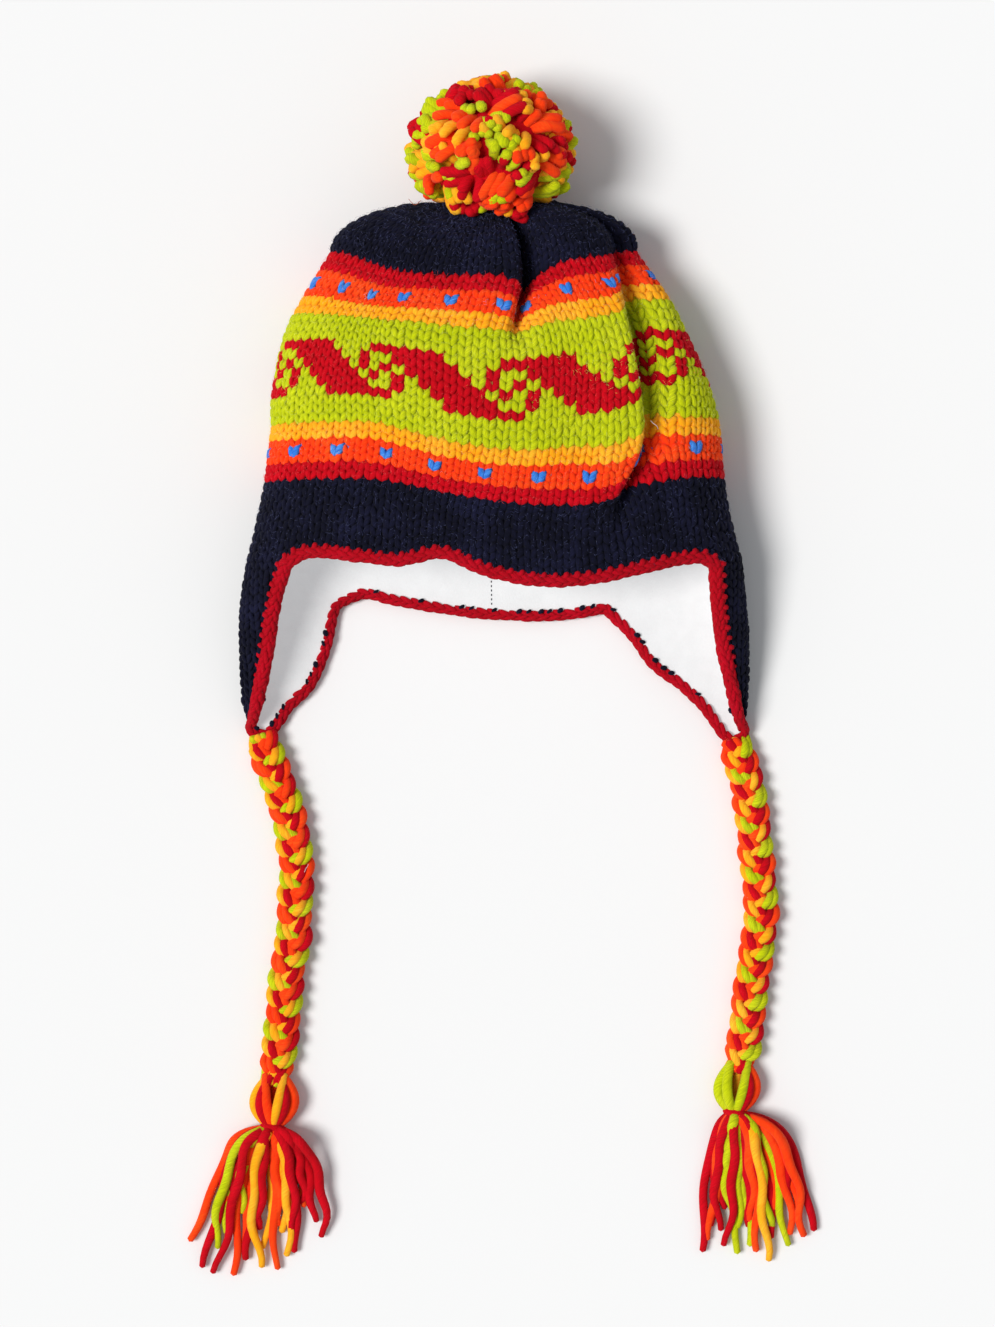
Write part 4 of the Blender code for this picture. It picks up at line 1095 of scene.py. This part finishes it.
def read_flap(rings, normals, share, along):
    """Points and normals of a flap at shares of its length, and at lengths round it from its side."""
    index = np.clip(np.interp(share, FLAP_SHARES, np.arange(len(FLAP_SHARES))), 0, len(FLAP_SHARES) - 1.001)
    low = index.astype(int)
    t = (index - low)[..., None]
    lengths, places = flap_lengths(rings), np.arange(rings.shape[1])
    found_points, found_normals = [], []
    for ring in (low, low + 1):
        at = [np.interp(a, lengths[r], places) for r, a in zip(ring.ravel(), along.ravel())]
        at = np.array(at).reshape(ring.shape)
        c = np.clip(at.astype(int), 0, rings.shape[1] - 2)
        f = (at - c)[..., None]
        found_points.append(mix(rings[ring, c], rings[ring, c + 1], f))
        found_normals.append(mix(normals[ring, c], normals[ring, c + 1], f))
    return mix(*found_points, t), unit(mix(*found_normals, t))


def flap_stitches(rings, normals):
    """Tubes for a flap's stitches: columns of even width, cut off where the flap narrows."""
    count = int(length_of(rings[:, SIDE_POINT]) / FLAP_ROW)
    lengths = flap_lengths(rings)
    rows, columns = [], []
    for row in range(-count, 0):
        share = (-row - 0.3) / count
        index = np.interp(share, FLAP_SHARES, np.arange(len(FLAP_SHARES)))
        low, high = lengths[int(round(index)), 0], lengths[int(round(index)), -1]
        for column in range(-8, 16):
            if low + FLAP_MARGIN < column * STITCH_WIDTH < high - FLAP_MARGIN:
                rows.append(row)
                columns.append(column)
    column, row, depth, radius = legs_for(np.array(rows, float), np.array(columns, float), 1)
    share = np.clip(-row / count, 0, 0.985)
    points, surface_normals = read_flap(rings, normals, share, column * STITCH_WIDTH)
    points = points - surface_normals * depth[..., None]
    above_table(points, STITCH_LOWEST)
    return tubes(points, radius, surface_normals, np.full(len(points), NAVY), flatness=STITCH_FLATNESS)


make_piece("knit_rim_and_flaps", [
    crown_stitches(0, 8), *[flap_stitches(rings, normals) for rings, normals, _ in FLAPS],
], YARNS, "knit_shell")
make_piece("knit_lower_bands", [crown_stitches(8, 24)], YARNS)
make_piece("knit_upper_bands", [crown_stitches(24, 38)], YARNS)
# The gathered top is tight, so it has one leg pair to each two or four columns there
make_piece("knit_crown", [
    crown_stitches(38, 41), crown_stitches(41, 44, 2), crown_stitches(44, 46, 4),
], YARNS)

# %% [markdown]
# ## Behind the stitches
# The reverse of the knitting closes the small gaps between the legs. A plain sheet 1.6 mm below
# the surface, coloured stitch by stitch from the same chart, is enough: it is only ever glimpsed.

# %% Backing
BACKING_DEPTH = 0.0016
BACKING_LOWEST = 0.0006
backing_rows = np.arange(0, APEX_ROW, 0.5)
backing_columns = np.arange(0, ROUND, 0.5)
row_grid, column_grid = np.meshgrid(backing_rows, backing_columns, indexing="ij")
backing, _ = crown_at(row_grid, stitch_place(row_grid, column_grid), BACKING_DEPTH)
above_table(backing, BACKING_LOWEST)
backing_slots = np.array([
    [chart_yarn(int(r - 0.1), int(round(c)) % ROUND) for c in backing_columns] for r in backing_rows[:-1]
])
backing_parts = [grid_part(backing, backing_slots, closed=True)]
for rings, normals, turned in FLAPS:
    sheet = above_table(rings - normals * BACKING_DEPTH, BACKING_LOWEST)
    backing_parts.append(grid_part(sheet, NAVY, turned=turned))
make_piece("knit_backing", backing_parts, YARNS)

# %% [markdown]
# ## Lining
# The hat is lined with thin white fleece, sewn in under the edging, with one seam down the back.
# Because it is sewn down all round it isn't a free sheet of cloth: it follows the wall, with soft
# ripples where it is a little too big for the knitting.

# %% Lining
# The fleece glows faintly: painted light that brightens the lining where the hat shades it
FLEECE_PAINTED_LIGHT = 0.26
FLEECE_DEPTH = LINING_DEPTH + 0.0008
FLEECE_LOWEST = 0.0040
CROWN_RIPPLE, FLAP_RIPPLE = 0.00022, 0.00018
# Towards the gathered top the lining is drawn in a little more, clear of the folds
DRAWN_FROM_ROW, DRAWN_OVER_ROWS = 30, 7
DRAWN_IN_SHARE, DRAWN_DOWN = 0.12, 0.003


def fleece_material():
    # The fleece's emission is painted light that lifts the lining out of its shade
    material, tree, shader = cloth(
        "white fleece", Roughness=0.95, Specular_IOR_Level=0.1, Sheen_Weight=0.3,
        Emission_Color=(0.96, 0.98, 1.0, 1), Emission_Strength=FLEECE_PAINTED_LIGHT)
    place = add(tree, "ShaderNodeTexCoord", (-900, 0))
    nap = add(tree, "ShaderNodeTexNoise", (-600, -200))
    put(nap, Scale=900, Detail=4)
    pills = add(tree, "ShaderNodeTexNoise", (-600, 100))
    put(pills, Scale=130)
    tone = add(tree, "ShaderNodeValToRGB", (-350, 100))
    for stop, place_on_ramp, colour in zip(
        tone.color_ramp.elements, (0.35, 0.65), ((0.515, 0.519, 0.523, 1), (0.54, 0.544, 0.548, 1)),
    ):
        stop.position, stop.color = place_on_ramp, colour
    bump = add(tree, "ShaderNodeBump", (-300, -200))
    put(bump, Strength=0.35, Distance=0.0005)
    wire(tree, (place, "Object", nap, "Vector"), (place, "Object", pills, "Vector"),
         (pills, "Fac", tone, "Fac"), (tone, "Color", shader, "Base Color"),
         (nap, "Fac", bump, "Height"), (bump, "Normal", shader, "Normal"))
    return material


def ripple(points, size):
    """Soft uneven ripples in metres, from a few crossed waves."""
    x, y = points[..., 0] * 1000, points[..., 1] * 1000
    wave = np.sin(x / 11 + y / 23) + 0.7 * np.sin(x / 6.1 - y / 17 + 1.3)
    return (wave + 0.5 * np.sin(y / 7.3 + x / 31 + 0.4)) * size


FLEECE = fleece_material()
lining_rows = np.arange(0, APEX_ROW, 0.75)
lining_columns = np.arange(0, ROUND, 0.5)
row_grid, column_grid = np.meshgrid(lining_rows, lining_columns, indexing="ij")
plain_points, _ = crown_at(row_grid, column_grid, 0)
depth = FLEECE_DEPTH + ripple(plain_points, CROWN_RIPPLE)
inner, _ = crown_at(row_grid, column_grid, depth)
drawn_in = np.clip((row_grid - DRAWN_FROM_ROW) / DRAWN_OVER_ROWS, 0, 1)[..., None]
ring_centres = inner.mean(axis=1, keepdims=True)
inner = ring_centres + (inner - ring_centres) * (1 - DRAWN_IN_SHARE * drawn_in)
inner[..., 1] -= DRAWN_DOWN * drawn_in[..., 0]
above_table(inner, FLEECE_LOWEST)
lining_parts = [grid_part(inner, 0, closed=True, turned=True)]
for rings, normals, turned in FLAPS:
    thin = np.clip((1 - FLAP_SHARES) / 0.25, 0.25, 1)[:, None]
    depth = (FLEECE_DEPTH + ripple(rings, FLAP_RIPPLE)) * (0.55 + 0.45 * thin)
    sheet = above_table(rings - normals * depth[..., None], FLEECE_LOWEST)
    lining_parts.append(grid_part(sheet, 0, turned=not turned))
make_piece("fleece", lining_parts, [FLEECE], "fleece_lining")

# %% Seam of the lining
# The seam runs down the middle of the back: dark running stitches that show near the rim
SEAM_DEPTH, SEAM_LOWEST, THREAD_RADIUS = 0.0058, 0.0043, 0.00026
SEAM_X = -0.0016
back_columns = np.arange(56, 68, 0.25)
seam_rows = np.arange(0.6, 12, 0.42)
middle_x = crown_at(np.zeros(len(back_columns)), back_columns, 0)[0][:, 0]
seam_column = float(back_columns[np.argmin(np.abs(middle_x - SEAM_X))])
stitch_rows = seam_rows[:, None] + np.array([0, 0.08, 0.16])
whole_seam = np.ones(stitch_rows.shape)
seam, _ = crown_at(stitch_rows, whole_seam * seam_column, SEAM_DEPTH)
above_table(seam, SEAM_LOWEST)
threads = tubes(seam, whole_seam * THREAD_RADIUS, np.array([0.1, 0, 1.0]), np.zeros(len(seam), int))
make_piece("lining_seam", [threads], [YARNS[NAVY]])

# %% [markdown]
# ## Edging
# The rim and both flaps are finished with red crochet: six rows of slanted legs wrap the edge like
# a fat chain, and every 6 mm a rounded tooth bites into the navy. One profile, repeated at even
# steps along the edge, makes each row. Where the edge lies on the table, a little navy shows.

# %% Edging
def edge_of(crown, right, left):
    """A field of the wall along its free edge, as a loop: front rim, right flap, back rim, left flap."""
    front = np.linspace(*FRONT_RIM, 80)[1:-1]
    back = np.linspace(*BACK_RIM, 60)[1:-1]
    return np.concatenate([
        read_grid(crown, np.zeros(len(front)), front),
        right[:, 0], right[-1, 1:-1], right[::-1, -1],
        read_grid(crown, np.zeros(len(back)), back),
        left[:, -1], left[-1, -2:0:-1], left[::-1, 0],
    ])


def even_loop(points, normals, spacing):
    """The closed line again at even steps, with directions out of the edge and out of the wall."""
    closed = np.concatenate([points, points[:1]])
    closed_normals = np.concatenate([normals, normals[:1]])
    along = distances(closed)
    count = round(along[-1] / spacing) * LOOP_POINTS
    at = np.arange(count) * along[-1] / count
    line = np.stack([np.interp(at, along, closed[:, k]) for k in range(3)], 1)
    normal = unit(np.stack([np.interp(at, along, closed_normals[:, k]) for k in range(3)], 1))
    for _ in range(SMOOTHINGS):
        line = (np.roll(line, 1, 0) + 2 * line + np.roll(line, -1, 0)) / 4
        normal = unit((np.roll(normal, 1, 0) + 2 * normal + np.roll(normal, -1, 0)) / 4)
    ahead = unit(np.roll(line, -3, 0) - np.roll(line, 3, 0))
    return line, unit(np.cross(ahead, normal)), normal, count // LOOP_POINTS


CROCHET = 0.0058
LOOP_POINTS = 8
SMOOTHINGS = 6
edge_points = edge_of(crown_grid, right_flap, left_flap)
edge_normals = edge_of(crown_normals, right_flap_normals, left_flap_normals)
edge_line, edge_out, edge_normal, loops = even_loop(edge_points, edge_normals, CROCHET)


def along_edge(centre, offsets):
    """Points at offsets (ahead in loops, out and up in mm) from chosen loops, with the way out."""
    index = (centre[:, None] + offsets[:, 0]) * LOOP_POINTS
    low = np.floor(index).astype(int)
    t = (index - low)[..., None]
    count = len(edge_line)
    line, out, normal = [
        mix(field[low % count], field[(low + 1) % count], t) for field in (edge_line, edge_out, edge_normal)
    ]
    points = line + out * (offsets[:, 1] / 1000)[:, None] + normal * (offsets[:, 2] / 1000)[:, None]
    return points, unit(out)


# Each row of slanted legs round the edge: its place over the edge in degrees (90 is the front face,
# 0 straight out and -90 the inside), how it slants and its radius in mm
CrochetRow = namedtuple("CrochetRow", "turn slant radius shift")
CROCHET_ROWS = table_of(
    CrochetRow,
    (128, 22, 1.45, 0.0), (88, -24, 1.55, 0.5), (44, 24, 1.50, 0.0), (0, -24, 1.45, 0.5),
    (-46, 24, 1.45, 0.0), (-90, -24, 1.40, 0.5),
)
# The teeth that bite into the navy: ahead in loops, out and up in mm
TOOTH = np.array([(-0.16, -0.4, -0.9), (-0.11, -1.4, 0.1), (-0.04, -2.2, 0.1), (0.02, -2.7, -0.7)])
# The navy that shows between loops on the inside, where the edge lies on the table
BITE = np.array([(-0.18, -1.4, -6.0), (-0.08, -0.8, -6.6), (0.08, -0.2, -6.8), (0.18, 0.4, -6.5)])
TOOTH_RADII = np.array([1.3, 1.5, 1.45, 1.0]) / 1000
BITE_RADII = np.array([0.8, 1.25, 1.25, 0.8]) / 1000
LYING_EDGE = 0.016  # an edge lower than this lies on the table
BITE_SHARE = 0.5  # how many of the loops there show a navy stitch
# The middle of the crochet's section from the edge, and its half width and height, in mm
EDGE_MIDDLE = (0.6, -3.0)
EDGE_REACH = (2.9, 2.6)


def crochet_row(row):
    t = np.linspace(-1, 1, 6)
    turn = np.radians(row.turn + row.slant * t)
    swell = 1 - 0.16 * t**2
    offsets = np.stack([
        0.62 * t + row.shift,
        EDGE_MIDDLE[0] + EDGE_REACH[0] * swell * np.cos(turn),
        EDGE_MIDDLE[1] + EDGE_REACH[1] * swell * np.sin(turn),
    ], 1)
    paths, outs = along_edge(np.arange(loops, dtype=float), offsets)
    paths = paths + rng.normal(0, 0.00012, (loops, 1, 3))
    radii = row.radius / 1000 * (1 - 0.35 * t**4) * (1 + rng.normal(0, 0.04, (loops, 1)))
    above_table(paths, 0.0014)
    return tubes(paths, radii, outs, np.full(loops, RED))


parts = [crochet_row(row) for row in CROCHET_ROWS]
teeth, outs = along_edge(np.arange(loops, dtype=float), TOOTH)
above_table(teeth, 0.0012)
tooth_radii = TOOTH_RADII * (1 + rng.normal(0, 0.08, (loops, 1)))
parts.append(tubes(teeth, tooth_radii, np.cross(outs, [0, 0, 1.0]), np.full(loops, RED)))
lying = np.flatnonzero((edge_line[::LOOP_POINTS, 2] < LYING_EDGE) & (rng.random(loops) < BITE_SHARE))
bites, outs = along_edge(lying + 0.5 + rng.normal(0, 0.12, len(lying)), BITE)
above_table(bites, 0.0016)
bite_radii = BITE_RADII * rng.uniform(0.6, 1.2, (len(lying), 1))
parts.append(tubes(bites, bite_radii, outs, np.full(len(bites), NAVY)))
CRIMSON = wool("crimson wool", (190, 0, 26), (150, 0, 16), (208, 2, 36), sheen=0.02)
make_piece("red_crochet", parts, [YARNS[NAVY], CRIMSON], "crochet_edging")
print("edge:", round(1000 * length_of(edge_line)), "mm,", loops, "loops")

# %% [markdown]
# ## Pompom
# The pompom is some hundreds of thick yarn ends, tied at the middle and clipped to a ball. The
# ends come in small tufts of one colour that lean the same way, so the ball is lumpy. It rests on
# the table and against the gathered crown, which flattens it there.

# %% Pompom
POMPOM_CENTRE = np.array([-0.0012, 0.1351, 0.0437])
POMPOM_REACH = np.array([0.0440, 0.0390, 0.0430])
POMPOM_TUFTS = 187
TUFT_ENDS = 3
END_SPACING = 0.105
END_START = 0.50  # where an end starts and how far it leans, as shares of the pompom's reach
END_LEAN = 0.42
CORE_SHARE = 0.78
CROWN_GAP = 0.003  # how far the ends stay off the crown
END_RINGS = np.array([0.0, 0.25, 0.45, 0.62, 0.78, 0.93, 1.0])
END_RADII = np.array([1.9, 2.4, 2.6, 2.7, 2.8, 2.9, 2.5]) / 1000


def spiral_directions(count):
    turn = math.pi * (3 - math.sqrt(5))
    heights = 1 - (np.arange(count) + 0.5) * 2 / count
    radii = np.sqrt(1 - heights**2)
    angles = np.arange(count) * turn
    return np.stack([radii * np.cos(angles), radii * np.sin(angles), heights], 1)


def tree_of(node):
    """A CAD node's faces, for finding where a line meets them."""
    source = bpy.data.objects[node]
    points = [source.matrix_world @ vert.co for vert in source.data.vertices]
    return BVHTree.FromPolygons(points, [tuple(face.vertices) for face in source.data.polygons])


def pompom():
    """Paths, radii and yarns of the cut ends: each tuft leans its own way, and its ends lie side by side."""
    crown = tree_of("knit_shell")
    yarns = rng.permutation([RED, ORANGE, AMBER, LIME, RED, ORANGE, AMBER, LIME, RED, ORANGE, AMBER] * 17)
    paths, radii, colours = [], [], []
    t = END_RINGS[:, None]
    for middle, tuft_yarn in zip(spiral_directions(POMPOM_TUFTS), yarns):
        middle = unit(middle + rng.normal(0, 0.05, 3))
        lean = unit(np.cross(middle, rng.normal(0, 1, 3))) * rng.uniform(0.45, 1.15)
        height = rng.uniform(0.885, 0.985)
        beside = unit(np.cross(middle, lean))
        for end in range(TUFT_ENDS):
            spread = beside * (end - (TUFT_ENDS - 1) / 2) * END_SPACING + rng.normal(0, 0.03, 3)
            way = unit(unit(middle + spread) + (lean + rng.normal(0, 0.10, 3)) * END_LEAN * (t**1.6 - 0.4))
            length = height + rng.normal(0, 0.02)
            reach = END_START + (length - END_START) * (1 - (1 - t) ** 1.35)
            path = POMPOM_CENTRE + way * reach * POMPOM_REACH
            ray = path[-1] - POMPOM_CENTRE
            hit = crown.ray_cast(Vector(POMPOM_CENTRE), Vector(ray))[3]
            if hit is not None and hit < np.linalg.norm(ray) + CROWN_GAP:
                scale = (hit - CROWN_GAP) / np.linalg.norm(ray)
                if scale < 0.55:
                    continue
                path = POMPOM_CENTRE + (path - POMPOM_CENTRE) * scale
            paths.append(path)
            radii.append(END_RADII * (1 + rng.normal(0, 0.06)))
            colours.append(tuft_yarn if rng.random() < 0.82 else rng.choice([RED, ORANGE, AMBER, LIME]))
    return above_table(np.array(paths), 0.0028), np.array(radii), np.array(colours)


paths, radii, yarn = pompom()
parts = [tubes(paths, radii, np.array([0.31, 0.22, 0.92]), yarn, sides=8)]
theta = np.linspace(0, 2 * math.pi, 32, endpoint=False)
phi = np.linspace(0.05, math.pi - 0.05, 18)
core = np.stack([np.outer(np.sin(phi), np.cos(theta)), np.outer(np.sin(phi), np.sin(theta)),
                 np.outer(np.cos(phi), np.ones(32))], -1)
core = POMPOM_CENTRE + core * POMPOM_REACH * CORE_SHARE
parts.append(grid_part(core, RED, closed=True, turned=True))
make_piece("yarn_pompom", parts, YARNS, "pompom")
print("pompom ends:", len(paths))

# %% [markdown]
# ## Fuzz
# Wool always sheds a little: fine pale hairs stand off the navy, and a few loose fibres lie on it.
# Each hair is a thin closed spike with one bend, which is enough for something so fine.

# %% Fuzz
FUZZ_HAIRS = 12000
HAIR_RADIUS = 0.00005
HAIR_LENGTHS = (0.0012, 0.0034)
HAIR_ROOT = 0.0002
STRAY_RADIUS = 0.00013
STRAY_COPPER = (
    (-0.0436, 0.1084, 0.058), (-0.0418, 0.1060, 0.061), (-0.0400, 0.1048, 0.063), (-0.0372, 0.1066, 0.066),
)
STRAY_PINK = (
    (0.0800, -0.0058, 0.067), (0.0812, -0.0072, 0.069), (0.0830, -0.0086, 0.069), (0.0838, -0.0100, 0.067),
)
STRAY_WHITE = (
    (-0.0992, -0.2388, 0.0165), (-0.0985, -0.2370, 0.0172), (-0.0976, -0.2356, 0.0168),
    (-0.0972, -0.2346, 0.016),
)


def hairs(count):
    """Closed three-sided spikes that leave the knitting at a slant, each bent its own way."""
    rows, stitches = rng.uniform(0, 45, count), rng.uniform(0, ROUND, count)
    roots, up = crown_at(rows, stitches, HAIR_ROOT)
    along = unit(np.cross(up, rng.normal(0, 1, (count, 3))))
    beside = unit(np.cross(up, along))
    length = rng.uniform(*HAIR_LENGTHS, (count, 1))
    bend = rng.normal(0, 0.35, (count, 1))
    middles = roots + (along * 0.45 + up * 0.30 + beside * bend * 0.2) * length
    tips = roots + (along * 0.85 + up * 0.34 + beside * bend) * length
    turns = [corner * 2 * math.pi / 3 for corner in range(3)]
    corners = [beside * math.cos(turn) + up * math.sin(turn) for turn in turns]
    points = np.stack([roots + corner * HAIR_RADIUS for corner in corners]
                      + [middles + corner * HAIR_RADIUS * 0.9 for corner in corners] + [tips], 1)
    above_table(points, 0.0004)
    first = (np.arange(count) * 7)[:, None, None]
    quads = np.array([[0, 1, 4, 3], [1, 2, 5, 4], [2, 0, 3, 5]]) + first
    tris = np.array([[0, 2, 1], [3, 4, 6], [4, 5, 6], [5, 3, 6]]) + first
    slots = np.array([chart_yarn(int(r), int(s)) for r, s in zip(rows, stitches)])
    return Part(points.reshape(-1, 3), quads.reshape(-1, 4), np.zeros((count * 3, 4, 2)), tris.reshape(-1, 3),
                np.zeros((count * 4, 3, 2)), np.repeat(slots, 3), np.repeat(slots, 4))


HAIR_COLOURS = (
    (92, 98, 140), (255, 96, 96), (255, 158, 110), (255, 226, 150), (240, 246, 130), (160, 208, 255),
)
HAIRS = [
    wool(f"hair {number}", colour, colour, colour, sheen=0.0) for number, colour in enumerate(HAIR_COLOURS)
]
make_piece("wool_hairs", [hairs(FUZZ_HAIRS)], HAIRS)
COPPER = wool("copper fibre", (186, 96, 60), (150, 70, 40), (214, 130, 92), sheen=0.0)
PALE = wool("pale fibre", (236, 222, 226), (214, 196, 204), (250, 244, 246), sheen=0.0)
strays = np.array([smooth_line(stray, 12) for stray in (STRAY_COPPER, STRAY_PINK, STRAY_WHITE)])
stray_tubes = tubes(strays, np.full(strays.shape[:2], STRAY_RADIUS), UP, [0, 1, 1])
make_piece("stray_fibres", [stray_tubes], [COPPER, PALE])
